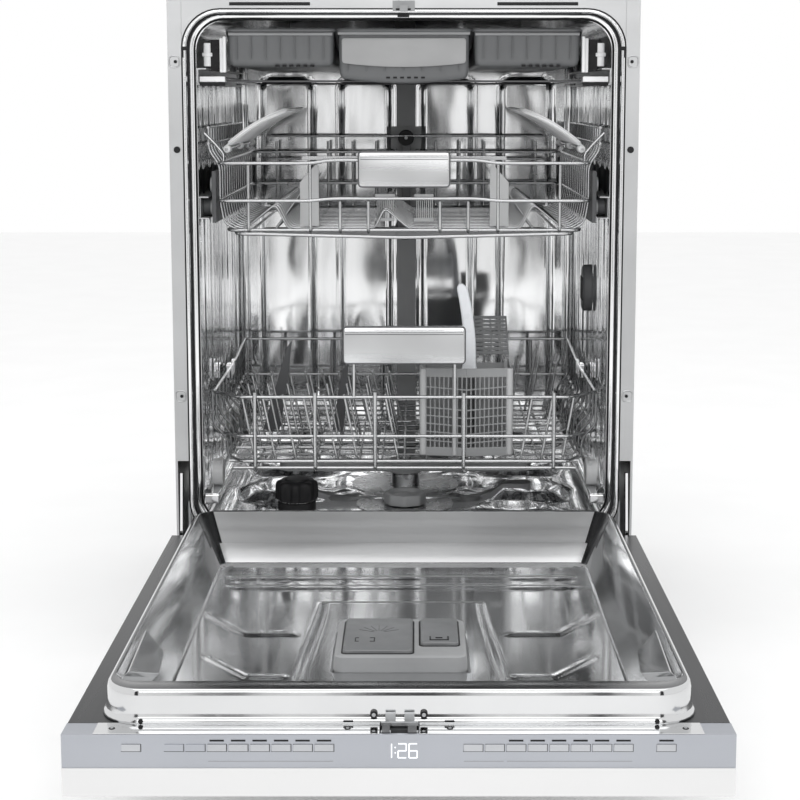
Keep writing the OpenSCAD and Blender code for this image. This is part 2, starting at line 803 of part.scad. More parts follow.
tub();
cabinet_frame();
door_gasket();
insulation_blanket();
base_tray();
leveling_feet();
toe_kick();
sump_housing();
softener_tank();
wash_pumps();
inlet_valve();
terminal_box();
water_duct();
rack_rails();
latch_striker();
hinge_brackets();
door_springs();
filter_cup();
softener_cap();
lower_spray_arm();
middle_spray_arm();
ceiling_sprayer();
door_shell();
door_liner();
control_panel();
furniture_panel();
door_latch();
dispenser_body();
detergent_lid();
rinse_aid_lid();
hinge_arms();
third_rack_frame();
third_rack_trays();
upper_rack();
upper_rack_handle();
cup_shelf_left();
cup_shelf_right();
upper_rack_carriers();
lower_rack();
lower_rack_handle();
lower_rack_wheels();
lower_tines();
cutlery_basket();
basket_lid();
key_at(-end_key_x);  // key_power
key_at(-bank_x(5));  // key_program_1
key_at(-bank_x(4));  // key_program_2
key_at(-bank_x(3));  // key_program_3
key_at(-bank_x(2));  // key_program_4
key_at(-bank_x(1));  // key_program_5
key_at(-bank_x(0));  // key_program_6
key_at(bank_x(0));  // key_minus
key_at(bank_x(1));  // key_plus
key_at(bank_x(2));  // key_option_1
key_at(bank_x(3));  // key_option_2
key_at(bank_x(4));  // key_option_3
key_at(bank_x(5));  // key_option_4
key_at(bank_x(6));  // key_option_5
key_at(bank_x(7));  // key_option_6
key_at(end_key_x);  // key_start
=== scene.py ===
"""Looks of the built-in dishwasher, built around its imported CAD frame. Metres."""
import math

import bmesh
import bpy
from mathutils import Matrix, Vector


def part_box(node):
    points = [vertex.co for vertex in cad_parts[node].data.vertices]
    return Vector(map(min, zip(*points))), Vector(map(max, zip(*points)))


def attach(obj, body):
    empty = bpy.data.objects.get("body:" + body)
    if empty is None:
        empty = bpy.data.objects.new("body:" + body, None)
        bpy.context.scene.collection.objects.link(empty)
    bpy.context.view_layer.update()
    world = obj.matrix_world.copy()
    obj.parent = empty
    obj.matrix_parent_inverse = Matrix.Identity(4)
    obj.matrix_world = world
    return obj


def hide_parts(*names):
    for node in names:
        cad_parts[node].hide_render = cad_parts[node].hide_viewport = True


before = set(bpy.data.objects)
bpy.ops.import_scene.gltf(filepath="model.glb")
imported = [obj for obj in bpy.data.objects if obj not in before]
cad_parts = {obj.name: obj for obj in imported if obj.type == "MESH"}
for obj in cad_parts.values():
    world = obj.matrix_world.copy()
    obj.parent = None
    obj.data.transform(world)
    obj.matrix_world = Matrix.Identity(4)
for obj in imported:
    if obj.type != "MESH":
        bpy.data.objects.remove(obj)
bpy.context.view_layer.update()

# ---- Places in the frame ----

MM = 0.001
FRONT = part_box("cabinet_frame")[0].y


def at(x, y, z):
    """A point from millimetres: x from the middle, y behind the cabinet's front, z above the floor."""
    return Vector((x * MM, FRONT + y * MM, z * MM))


# ---- Materials ----


def new_material(name, color, metallic, roughness):
    mat = bpy.data.materials.new(name)
    mat.use_nodes = True
    shader = mat.node_tree.nodes["Principled BSDF"]
    shader.inputs["Base Color"].default_value = (*color, 1)
    shader.inputs["Metallic"].default_value = metallic
    shader.inputs["Roughness"].default_value = roughness
    return mat, shader


def noise_node(tree, scale, detail, stretch=(1, 1, 1), rough=0.5):
    coord = tree.nodes.new("ShaderNodeTexCoord")
    mapping = tree.nodes.new("ShaderNodeMapping")
    mapping.inputs["Scale"].default_value = stretch
    tex = tree.nodes.new("ShaderNodeTexNoise")
    tex.inputs["Scale"].default_value = scale
    tex.inputs["Detail"].default_value = detail
    tex.inputs["Roughness"].default_value = rough
    tree.links.new(coord.outputs["Object"], mapping.inputs["Vector"])
    tree.links.new(mapping.outputs["Vector"], tex.inputs["Vector"])
    return tex


def vary_color(mat, shader, tex, color, spread):
    """The base colour wanders by spread around color, as tex says."""
    ramp = mat.node_tree.nodes.new("ShaderNodeValToRGB")
    dark = [max(0.0, c * (1 - spread)) for c in color]
    light = [min(1.0, c * (1 + spread)) for c in color]
    ramp.color_ramp.elements[0].color = (*dark, 1)
    ramp.color_ramp.elements[1].color = (*light, 1)
    ramp.color_ramp.elements[0].position = 0.3
    ramp.color_ramp.elements[1].position = 0.7
    mat.node_tree.links.new(tex.outputs["Fac"], ramp.inputs["Fac"])
    mat.node_tree.links.new(ramp.outputs["Color"], shader.inputs["Base Color"])


def vary_roughness(mat, shader, tex, low, high):
    spread = mat.node_tree.nodes.new("ShaderNodeMapRange")
    spread.inputs["From Min"].default_value = 0.3
    spread.inputs["From Max"].default_value = 0.7
    spread.inputs["To Min"].default_value = low
    spread.inputs["To Max"].default_value = high
    mat.node_tree.links.new(tex.outputs["Fac"], spread.inputs["Value"])
    mat.node_tree.links.new(spread.outputs["Result"], shader.inputs["Roughness"])


def add_bump(mat, shader, texs, distances, strength=1.0):
    """Bumps stacked from the finest to the widest, each with its own depth in metres."""
    last = None
    for tex, distance in zip(texs, distances):
        bump = mat.node_tree.nodes.new("ShaderNodeBump")
        bump.inputs["Strength"].default_value = strength
        bump.inputs["Distance"].default_value = distance
        mat.node_tree.links.new(tex.outputs["Fac"], bump.inputs["Height"])
        if last:
            mat.node_tree.links.new(last.outputs["Normal"], bump.inputs["Normal"])
        last = bump
    mat.node_tree.links.new(last.outputs["Normal"], shader.inputs["Normal"])


def metal(name, color, low, high, grain=(1, 1, 1), grain_scale=700, grain_depth=0.00002,
          waves=0.0, spread=0.06):
    """Sheet or wire metal: a fine grain, cloudy roughness and, when pressed, long soft waves."""
    mat, shader = new_material(name, color, 1.0, low)
    tree = mat.node_tree
    fine = noise_node(tree, grain_scale, 3, grain)
    cloud = noise_node(tree, 9, 5)
    vary_color(mat, shader, cloud, color, spread)
    vary_roughness(mat, shader, noise_node(tree, 35, 4, grain), low, high)
    texs, depths = [fine], [grain_depth]
    if waves:
        texs.append(noise_node(tree, 11, 1, (1.6, 0.5, 0.8), 0.3))
        depths.append(waves)
    add_bump(mat, shader, texs, depths)
    return mat


def spangled(name, dark, light):
    """Galvanised sheet: flat crystals that differ a little in tone and gloss."""
    mat, shader = new_material(name, light, 1.0, 0.45)
    tree = mat.node_tree
    coord = tree.nodes.new("ShaderNodeTexCoord")
    cells = tree.nodes.new("ShaderNodeTexVoronoi")
    cells.inputs["Scale"].default_value = 70
    tone = tree.nodes.new("ShaderNodeRGBToBW")
    ramp = tree.nodes.new("ShaderNodeValToRGB")
    ramp.color_ramp.elements[0].color = (*dark, 1)
    ramp.color_ramp.elements[1].color = (*light, 1)
    gloss = tree.nodes.new("ShaderNodeMapRange")
    gloss.inputs["To Min"].default_value = 0.34
    gloss.inputs["To Max"].default_value = 0.56
    tree.links.new(coord.outputs["Object"], cells.inputs["Vector"])
    tree.links.new(cells.outputs["Color"], tone.inputs["Color"])
    tree.links.new(tone.outputs["Val"], ramp.inputs["Fac"])
    tree.links.new(tone.outputs["Val"], gloss.inputs["Value"])
    tree.links.new(ramp.outputs["Color"], shader.inputs["Base Color"])
    tree.links.new(gloss.outputs["Result"], shader.inputs["Roughness"])
    add_bump(mat, shader, [noise_node(tree, 300, 3)], [0.00002])
    return mat


def plastic(name, color, low=0.35, high=0.5, pit=0.00003, pit_scale=900, spread=0.08):
    """Moulded plastic with a fine eroded texture and slightly cloudy colour."""
    mat, shader = new_material(name, color, 0.0, low)
    tree = mat.node_tree
    cloud = noise_node(tree, 14, 6)
    vary_color(mat, shader, cloud, color, spread)
    vary_roughness(mat, shader, noise_node(tree, 60, 4), low, high)
    add_bump(mat, shader, [noise_node(tree, pit_scale, 2)], [pit])
    return mat


def matt(mat):
    """Less specular light, for deep blacks."""
    mat.node_tree.nodes["Principled BSDF"].inputs["Specular IOR Level"].default_value = 0.25
    return mat


def felt(name, color):
    mat, shader = new_material(name, color, 0.0, 0.95)
    tree = mat.node_tree
    fibre = noise_node(tree, 420, 8, (1, 1, 0.25), 0.8)
    clump = noise_node(tree, 60, 5, rough=0.7)
    vary_color(mat, shader, fibre, color, 0.5)
    shader.inputs["Sheen Weight"].default_value = 0.3
    add_bump(mat, shader, [fibre, clump], [0.0012, 0.004])
    return mat


def paint(name, color, low, high, depth=0.00004):
    """Sprayed paint with a faint orange peel."""
    mat, shader = new_material(name, color, 0.0, low)
    tree = mat.node_tree
    vary_color(mat, shader, noise_node(tree, 5, 4), color, 0.02)
    vary_roughness(mat, shader, noise_node(tree, 25, 4), low, high)
    add_bump(mat, shader, [noise_node(tree, 260, 2)], [depth])
    return mat


def glow(name, color, strength):
    """Lit digits: a glow whose strength wanders a little at random over each segment."""
    mat, shader = new_material(name, (0.02, 0.02, 0.02), 0.0, 0.4)
    tex = noise_node(mat.node_tree, 300, 2)
    ramp = mat.node_tree.nodes.new("ShaderNodeValToRGB")
    ramp.color_ramp.elements[0].color = (*[c * 0.85 for c in color], 1)
    ramp.color_ramp.elements[1].color = (*color, 1)
    mat.node_tree.links.new(tex.outputs["Fac"], ramp.inputs["Fac"])
    mat.node_tree.links.new(ramp.outputs["Color"], shader.inputs["Emission Color"])
    shader.inputs["Emission Strength"].default_value = strength
    return mat


STEEL = metal("polished_tub_steel", (0.85, 0.855, 0.86), 0.05, 0.12, (1, 1, 0.03), 900,
              0.000004, 0.0011, 0.04)
LINER = metal("polished_liner_steel", (0.66, 0.665, 0.67), 0.07, 0.14, (1, 0.04, 1), 900,
              0.000004, 0.00012, 0.04)
# Painted shade: a dark copy of the liner steel, for the liner's rim and rear corners.
LINER_PAINTED_SHADE = metal("liner_steel_painted_shade", (0.17, 0.172, 0.176), 0.16, 0.26, (1, 0.04, 1), 900,
                  0.000004, 0.0, 0.1)
# Painted highlight: a bright copy of the liner steel, low on the rear slope and at its foot.
LINER_PAINTED_HIGHLIGHT = metal("liner_steel_painted_highlight", (0.88, 0.885, 0.89), 0.35, 0.45, (0.05, 1, 1), 800,
                     0.00001, 0.0, 0.04)
LINER_SATIN = metal("satin_liner_steel", (0.66, 0.665, 0.67), 0.4, 0.5, (0.05, 1, 1), 800,
                    0.00001, 0.0, 0.04)
FLANGE = metal("flange_steel", (0.52, 0.525, 0.53), 0.32, 0.42, (0.05, 1, 1), 500, 0.00001)
GALVANISED = spangled("galvanised_sheet", (0.42, 0.43, 0.44), (0.58, 0.59, 0.6))
SHELL = metal("door_shell_sheet", (0.33, 0.335, 0.34), 0.35, 0.5, (1, 0.05, 1), 500, 0.00001)
CHROME = metal("bright_chrome", (0.9, 0.9, 0.91), 0.05, 0.1, (1, 1, 1), 600, 0.000003)
WIRE = metal("nickel_wire", (0.52, 0.525, 0.53), 0.18, 0.28, (1, 1, 1), 400, 0.00002)
# Painted shade: a darker copy of the nickel wire, for the lower rack's cross and floor wires.
WIRE_PAINTED_SHADE = metal("nickel_wire_painted_shade", (0.26, 0.264, 0.268), 0.2, 0.3, (1, 1, 1), 400, 0.00002)
MESH = metal("filter_mesh_steel", (0.5, 0.505, 0.51), 0.2, 0.32, (1, 1, 1), 1400, 0.00012)
BRUSHED = metal("brushed_handle_steel", (0.56, 0.565, 0.57), 0.24, 0.34, (0.03, 1, 1), 900,
                0.00001)
SPRING = metal("spring_steel", (0.35, 0.35, 0.36), 0.25, 0.4, (1, 1, 1), 300, 0.00002)
BLACK = matt(plastic("black_plastic", (0.012, 0.012, 0.013), 0.4, 0.55))
RUBBER = matt(plastic("seal_rubber", (0.02, 0.02, 0.022), 0.6, 0.75, 0.00006))
GREY = plastic("grey_plastic", (0.28, 0.285, 0.29), 0.35, 0.5)
MID_GREY = plastic("tray_plastic", (0.13, 0.134, 0.138), 0.32, 0.46)
DARK_GREY = plastic("dark_grey_plastic", (0.09, 0.092, 0.096), 0.35, 0.5)
LIGHT_GREY = plastic("light_grey_plastic", (0.5, 0.505, 0.51), 0.35, 0.5)
INLAY_GREY = plastic("tray_inlay_plastic", (0.36, 0.362, 0.365), 0.3, 0.42)
LID_GREY = plastic("lid_plastic", (0.15, 0.154, 0.158), 0.28, 0.4)
BORDER = metal("door_border_sheet", (0.042, 0.043, 0.045), 0.22, 0.34, (1, 0.05, 1), 500, 0.00001)
SHELF_WHITE = plastic("shelf_plastic", (0.9, 0.905, 0.91), 0.3, 0.42)
WHITE = plastic("white_plastic", (0.85, 0.87, 0.9), 0.25, 0.36)
BASKET = plastic("basket_plastic", (0.29, 0.295, 0.3), 0.36, 0.5)
PANEL_SILVER = metal("control_strip_silver", (0.44, 0.455, 0.49), 0.36, 0.46, (0.02, 1, 1), 900,
                     0.000008, 0.0, 0.03)
KEY_SILVER = metal("key_silver", (0.5, 0.51, 0.53), 0.3, 0.4, (1, 1, 1), 700, 0.00001)
PANEL_WHITE = paint("white_lacquer", (0.7, 0.7, 0.7), 0.4, 0.5)
FELT = felt("felt_blanket", (0.07, 0.07, 0.075))
DIGITS = glow("display_light", (0.95, 0.97, 1.0), 1.6)

# Only nodes that stay visible. The keys, and the nodes that pieces stand for, get KEY_SILVER.
CAD_MATERIALS = {
    "cabinet_frame": FLANGE, "insulation_blanket": FELT, "base_tray": DARK_GREY,
    "leveling_feet": BLACK, "toe_kick": GALVANISED, "sump_housing": MESH,
    "softener_tank": SHELF_WHITE, "wash_pumps": GREY, "inlet_valve": WHITE,
    "terminal_box": GALVANISED, "water_duct": GREY, "rack_rails": FLANGE,
    "latch_striker": GREY, "hinge_brackets": GALVANISED, "lower_spray_arm": GREY,
    "middle_spray_arm": GREY, "ceiling_sprayer": GREY, "door_shell": SHELL,
    "control_panel": PANEL_SILVER, "furniture_panel": PANEL_WHITE, "door_latch": DARK_GREY,
    "hinge_arms": CHROME, "upper_rack_carriers": DARK_GREY, "lower_rack_wheels": LIGHT_GREY,
}


def dress_cad_nodes():
    for name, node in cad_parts.items():
        node.data.materials.clear()
        node.data.materials.append(CAD_MATERIALS.get(name, KEY_SILVER))


# ---- Mesh and wire helpers ----

SIDES = (-1, 1)


def smoothstep(low, high, value):
    t = min(1.0, max(0.0, (value - low) / (high - low)))
    return t * t * (3 - 2 * t)


def link(name, data):
    thing = bpy.data.objects.new(name, data)
    bpy.context.scene.collection.objects.link(thing)
    return thing


def finish_mesh(name, bm, mat, body, slot=None, stands_for=(), bevel=0.0, sharp=35, segments=2):
    """Turns bm into a smooth-shaded piece, with real rounded edges when bevel is given, and puts it on
    its body.
    """
    bmesh.ops.recalc_face_normals(bm, faces=bm.faces)
    for face in bm.faces:
        face.smooth = True
    for edge in bm.edges:
        if not bevel and edge.calc_face_angle(0) > math.radians(sharp):
            edge.smooth = False
    mesh = bpy.data.meshes.new(name)
    bm.to_mesh(mesh)
    bm.free()
    mesh.materials.append(mat)
    piece = link(name, mesh)
    if bevel:
        round_edges(piece, bevel, segments)
    place(piece, body, slot, stands_for)
    return piece


def round_edges(piece, width, segments=2):
    mod = piece.modifiers.new("round_edges", "BEVEL")
    mod.width = width * MM
    mod.segments = segments
    mod.limit_method = "ANGLE"
    mod.angle_limit = math.radians(30)
    mod.harden_normals = True


def thicken(piece, thickness):
    mod = piece.modifiers.new("thickness", "SOLIDIFY")
    mod.thickness = thickness * MM
    mod.offset = 0
    piece.modifiers.move(len(piece.modifiers) - 1, 0)


def place(piece, body, slot, stands_for):
    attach(piece, body)
    if stands_for:
        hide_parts(*stands_for)


def add_block(bm, low, high, turn=None, about=None):
    """A block between two corners in millimetres, turned if asked about a point."""
    low, high = at(*low), at(*high)
    size, middle = high - low, (low + high) / 2
    matrix = Matrix.Translation(middle) @ Matrix.Diagonal((*size, 1))
    if turn:
        centre = at(*about)
        matrix = Matrix.Translation(centre) @ turn @ Matrix.Translation(-centre) @ matrix
    bmesh.ops.create_cube(bm, size=1, matrix=matrix)


def add_blocks(bm, boxes, sides=(1,)):
    """Blocks given as (x0, y0, z0, x1, y1, z1). Side -1 mirrors them to the left."""
    for side in sides:
        for x0, y0, z0, x1, y1, z1 in boxes:
            add_block(bm, (side * x0, y0, z0), (side * x1, y1, z1))


def blocks(name, boxes, mat, body, slot=None, sides=(1,), **edges):
    """A piece that is made of blocks only."""
    bm = bmesh.new()
    add_blocks(bm, boxes, sides)
    finish_mesh(name, bm, mat, body, slot, **edges)


def add_drum(bm, centre, radius, length, axis="Z", sides=32, taper=1.0):
    """A drum around a point in millimetres, along one axis."""
    turns = {"X": Matrix.Rotation(math.pi / 2, 4, "Y"), "Y": Matrix.Rotation(-math.pi / 2, 4, "X"),
             "Z": Matrix.Identity(4)}
    bmesh.ops.create_cone(bm, cap_ends=True, segments=sides, radius1=radius * MM,
                          radius2=radius * taper * MM, depth=length * MM,
                          matrix=Matrix.Translation(at(*centre)) @ turns[axis])


def rounded_rect(half_x, half_y, radius, corner_steps=8, side_steps=1):
    """Points round a rectangle about the origin, counter-clockwise from the lower right side."""
    points = []
    corners = [(1, -1, -90), (1, 1, 0), (-1, 1, 90), (-1, -1, 180)]
    for sx, sy, start in corners:
        cx, cy = sx * (half_x - radius), sy * (half_y - radius)
        for i in range(corner_steps + 1):
            a = math.radians(start + 90 * i / corner_steps)
            points.append((cx + radius * math.cos(a), cy + radius * math.sin(a)))
    if side_steps == 1:
        return points
    full = []
    for i, p in enumerate(points):
        q = points[(i + 1) % len(points)]
        full.append(p)
        if i % (corner_steps + 1) == corner_steps:
            for k in range(1, side_steps):
                t = k / side_steps
                full.append((p[0] + (q[0] - p[0]) * t, p[1] + (q[1] - p[1]) * t))
    return full


def skin(bm, rings, closed=True):
    """Faces between neighbouring rings of points with the same count."""
    rows = [[bm.verts.new(p) for p in ring] for ring in rings]
    for a, b in zip(rows, rows[1:]):
        count = len(a) if closed else len(a) - 1
        for i in range(count):
            j = (i + 1) % len(a)
            bm.faces.new((a[i], a[j], b[j], b[i]))
    return rows


def cap(bm, row):
    bm.faces.new(row)


def closed_skin(bm, rings):
    """A skin over rings of points, capped at both ends."""
    rows = skin(bm, rings)
    cap(bm, rows[-1])
    cap(bm, list(reversed(rows[0])))


def leaf(bm, outline, y, thickness):
    """A flat upright leaf from an outline in x and z, standing across the depth."""
    closed_skin(bm, [[at(x, yy, z) for x, z in outline] for yy in (y, y + thickness)])


def softened(points, bend, closed=False, steps=4):
    """A polyline's corners turned into short curves that start bend before each corner."""
    points = [Vector(p) for p in points]
    count = len(points)
    out = []
    for i, p in enumerate(points):
        if not closed and i in (0, count - 1):
            out.append(p)
            continue
        before, after = points[i - 1] - p, points[(i + 1) % count] - p
        cut_a = min(bend, before.length * 0.45)
        cut_b = min(bend, after.length * 0.45)
        start, end = p + before.normalized() * cut_a, p + after.normalized() * cut_b
        for k in range(steps + 1):
            t = k / steps
            out.append(start * (1 - t) ** 2 + p * 2 * t * (1 - t) + end * t * t)
    return out


def wires(name, paths, diameter, mat, body, slot=None, stands_for=(), bend=10):
    """Round wires along polylines in millimetres. A path that ends where it starts is a loop."""
    curve = bpy.data.curves.new(name, "CURVE")
    curve.dimensions = "3D"
    curve.bevel_depth = diameter / 2 * MM
    curve.bevel_resolution = 2
    curve.use_fill_caps = True
    for path in paths:
        closed = tuple(path[0]) == tuple(path[-1])
        points = softened(path[:-1] if closed else path, bend, closed)
        spline = curve.splines.new("POLY")
        spline.points.add(len(points) - 1)
        for target, p in zip(spline.points, points):
            target.co = (*at(*p), 1)
        spline.use_cyclic_u = closed
        spline.use_smooth = True
    curve.materials.append(mat)
    piece = link(name, curve)
    place(piece, body, slot, stands_for)
    return piece


def rack_wires(name, paths, diameter, body, bend=10, mat=WIRE, stands_for=()):
    return wires(name, paths, diameter, mat, body, "rack_wire", stands_for, bend)


def mirrored(paths):
    return [[(-x, y, z) for x, y, z in path] for path in paths]


def both(paths):
    return paths + mirrored(paths)


# ---- Tub ----

TUB_HALF, TUB_FLOOR, TUB_CEILING, TUB_BACK = 268, 170, 835, 545
TUB_CORNER, MOUTH_DEPTH, MOUTH_HALF, MOUTH_TOP = 40, 36, 276, 842
BACK_ROUND = 12


def groove(distance, width, depth):
    """Depth of a narrow round-bottomed groove at a distance from its middle line."""
    return depth * math.exp(-(distance / width) ** 2)


def outline_distance(x, z, cx, cz, hx, hz, radius):
    """Signed distance to a rounded rectangle's outline, negative inside."""
    dx, dz = abs(x - cx) - hx + radius, abs(z - cz) - hz + radius
    return math.hypot(max(dx, 0), max(dz, 0)) + min(max(dx, dz), 0) - radius


def back_wall_relief(x, z):
    """How far the pressed back wall stands forward of its plane."""
    relief = 0.0
    for cx, hx in ((65, 40), (191, 41)):
        d = outline_distance(abs(x), z, cx, 487, hx, 278, 16)
        relief += 3.5 * (1 - smoothstep(-3, 3, d)) - groove(d, 1.9, 3.6)
    return relief


def side_rib(y):
    """How far the pressed side wall stands inward at a depth y."""
    return 1.3 * (0.5 + 0.5 * math.tanh(3.5 * math.sin(2 * math.pi * (y - 20) / 66)))


def floor_relief(x, y):
    """Height of the pressed tub floor over its plane: domes beside the sump, and its rim."""
    height = 0.0
    for cx, cy, rx, ry in ((165, 395, 80, 95), (178, 215, 62, 70), (150, 90, 75, 42)):
        r = math.hypot((abs(x) - cx) / rx, (y - cy) / ry)
        if x < 0 and cy == 90:
            continue
        height += 13 * (1 - smoothstep(0.72, 1.0, r))
    around = math.hypot(x, y - 270)
    height += 3 * math.exp(-((around - 96) / 6) ** 2)
    return height


def make_tub():
    bm = bmesh.new()
    rings = []
    middle_z = (TUB_FLOOR + TUB_CEILING) / 2
    depths = [(y, 0) for y in range(MOUTH_DEPTH, TUB_BACK - BACK_ROUND, 4)]
    depths += [(TUB_BACK - BACK_ROUND + BACK_ROUND * math.sin(a), BACK_ROUND * (1 - math.cos(a)))
               for a in (math.radians(10 * k) for k in range(10))]
    for y, inset in depths:
        outline = rounded_rect(TUB_HALF - inset, (TUB_CEILING - TUB_FLOOR) / 2 - inset,
                               TUB_CORNER - inset, 8, 26)
        ring = []
        fade = smoothstep(MOUTH_DEPTH, MOUTH_DEPTH + 20, y) * (1 - smoothstep(500, 530, y))
        for x, v in outline:
            z = middle_z + v
            if abs(x) > TUB_HALF - inset - 1:
                tall = smoothstep(225, 245, z) * (1 - smoothstep(740, 770, z))
                x -= math.copysign(side_rib(y) * fade * tall, x)
            if v < -(TUB_CEILING - TUB_FLOOR) / 2 + inset + 1:
                z += floor_relief(x, y) * fade
            ring.append(at(x, y, z))
        rings.append(ring)
    skin(bm, rings)
    columns, rows = 134, 160
    half_x = TUB_HALF - BACK_ROUND
    half_z = (TUB_CEILING - TUB_FLOOR) / 2 - BACK_ROUND
    corner = TUB_CORNER - BACK_ROUND
    lines = []
    for j in range(rows + 1):
        v = half_z * (2 * j / rows - 1)
        line = []
        for i in range(columns + 1):
            u = half_x * (2 * i / columns - 1)
            over_x, over_z = abs(u) - half_x + corner, abs(v) - half_z + corner
            w = v
            if over_x > 0 and over_z > 0 and math.hypot(over_x, over_z) > corner:
                pull = corner / math.hypot(over_x, over_z)
                u_here = math.copysign(half_x - corner + over_x * pull, u)
                w = math.copysign(half_z - corner + over_z * pull, v)
            else:
                u_here = u
            line.append(at(u_here, TUB_BACK - back_wall_relief(u_here, middle_z + w), middle_z + w))
        lines.append(line)
    skin(bm, lines, closed=False)
    tub = finish_mesh("tub_shell", bm, STEEL, "cabinet", "stainless_tub", ["tub"], sharp=60)
    thicken(tub, 0.8)
    make_mouth()
    make_ledges()


def make_mouth():
    """The widened mouth: a bright outer lip, the recess that the seal sits in, and the step."""
    bm = bmesh.new()
    profile = [(0.2, 4.5), (-1.0, 3.2), (-1.2, 1.2), (0.4, 0.0), (MOUTH_DEPTH - 3, 0.0),
               (MOUTH_DEPTH - 0.8, -0.6), (MOUTH_DEPTH, -2.5)]
    rings = [[at(*p) for p in mouth_path(grow, y)] for y, grow in profile]
    middle, half_z = (TUB_CEILING + TUB_FLOOR) / 2, (TUB_CEILING - TUB_FLOOR) / 2
    rings.append([at(x, MOUTH_DEPTH, middle + v) for x, v in
                  rounded_rect(TUB_HALF, half_z, TUB_CORNER, 10, 12)])
    skin(bm, rings)
    piece = finish_mesh("tub_mouth", bm, STEEL, "cabinet", "stainless_tub", sharp=60)
    thicken(piece, 0.6)
    # The outer black line is painted shadow in the gap between the flange and the tub's lip; the inner
    # one is a thin black line at the step.
    for name, grow, depth, width in (("mouth_gap_painted_shadow", 5.0, -0.4, 1.5),
                                     ("mouth_inner_line", -7.4, MOUTH_DEPTH - 1.2, 1.6)):
        path = mouth_path(grow, depth)
        wires(name, [path + path[:1]], width, BLACK, "cabinet", None, (), 0.01)
    make_seal()


def mouth_path(grow, y):
    """The mouth's outline in millimetres, grown or shrunk, at a depth y."""
    middle = (MOUTH_TOP + TUB_FLOOR - 3) / 2
    return [(x, y, middle + v) for x, v in
            rounded_rect(MOUTH_HALF + grow, (MOUTH_TOP - TUB_FLOOR + 3) / 2 + grow,
                         TUB_CORNER + 4 + grow, 10, 12)]


def make_seal():
    """The rubber seal that lies in the mouth, with its soft lip."""
    bm = bmesh.new()
    profile = [(9, -0.4), (9, -1.2), (12, -1.7), (18, -1.3), (24, -1.7), (27, -1.2), (27, -0.4)]
    rings = [[at(*p) for p in mouth_path(grow, y)] for y, grow in profile + profile[:1]]
    skin(bm, rings)
    bmesh.ops.remove_doubles(bm, verts=bm.verts, dist=0.00001)
    finish_mesh("mouth_seal", bm, RUBBER, "cabinet", "seal_rubber", ["door_gasket"], sharp=50)


def make_ledges():
    """Rolled ledges that carry the lower rack's wheels."""
    bm = bmesh.new()
    profile = [(TUB_HALF, 196), (262, 197), (250, 199), (246.5, 203), (246.5, 208), (249, 210.6),
               (256, 210.7), (TUB_HALF, 210.7)]
    for side in SIDES:
        rings = [[at(side * x, y, z) for x, z in profile] for y in (42, 46, 530, 538)]
        skin(bm, rings, closed=False)
    piece = finish_mesh("tub_ledges", bm, STEEL, "cabinet", "stainless_tub", sharp=60)
    thicken(piece, 0.8)
    blocks("ledge_ends", [(247, 39, 198, 266.5, 46, 210.4)], CHROME, "cabinet", "stainless_tub",
           SIDES, bevel=1.6)


# ---- Front flange ----


def add_tab(bm, side, z):
    """A pressed tab round a screw point, open to the flange's outer edge."""
    rings = []
    for y, grow in ((0.3, 0.6), (-0.7, 0.4), (-1.1, -0.6), (-0.5, -1.2), (0.2, -1.6)):
        rings.append([at(side * 290.5 + x, y, z + v) for x, v in
                      rounded_rect(7.0 + grow, 7.5 + grow, 5 + grow, 6)])
    skin(bm, rings)


def make_flange_details():
    """Pressed screw points, black plugs, fold lines and clips on the cabinet's front flange."""
    bm = bmesh.new()
    for side in SIDES:
        for z in (351, 781):
            add_tab(bm, side, z)
        add_block(bm, (side * 280.6, -0.7, 300), (side * 281.3, 0.4, 857))
    for x in (-297, 230):
        add_block(bm, (x, -0.5, 857.5), (x + 67, 0.4, 857.5 + 1.2))
    finish_mesh("flange_pressings", bm, FLANGE, "cabinet", "galvanised_sheet", bevel=0.4)
    dark = bmesh.new()
    for side in SIDES:
        add_drum(dark, (side * 289, -0.5, 670), 4.3, 2.2, "Y", 32, 0.9)
        for z in (351, 781):
            add_drum(dark, (side * 289, -1.2, z), 2.1, 0.8, "Y", 20)
        add_blocks(dark, [(118, -0.6, 851, 220, 0.2, 855.2), (273.5, -1.9, 795, 281, -0.9, 800),
                          (278.5, -1.9, 786, 281, -0.9, 795)], [side])
    add_blocks(dark, [(-8, 4, 837.2, 7, 16, 842), (-10, -1.9, 845, 9, -0.6, 847.5)])
    finish_mesh("flange_plugs", dark, BLACK, "cabinet", bevel=0.3)


# ---- Racks ----

RACK_FRONT, RACK_BACK = 48, 500


def rect_loop(half, front, back, z):
    return [(-half, front, z), (half, front, z), (half, back, z), (-half, back, z),
            (-half, front, z)]


def upper_cross_wire(y):
    """One cross wire of the upper rack: flared side, two ridges and a middle ridge."""
    left = [(-257, y, 697), (-257, y, 668), (-243, y, 648), (-243, y, 600), (-238, y, 572),
            (-222, y, 563), (-212, y, 563), (-170, y, 597), (-153, y, 563), (-40, y, 563),
            (-26, y, 592)]
    right = [(8, y, 563)] + [(-x, y, z) for x, _, z in reversed(left[:9])]
    return left + right


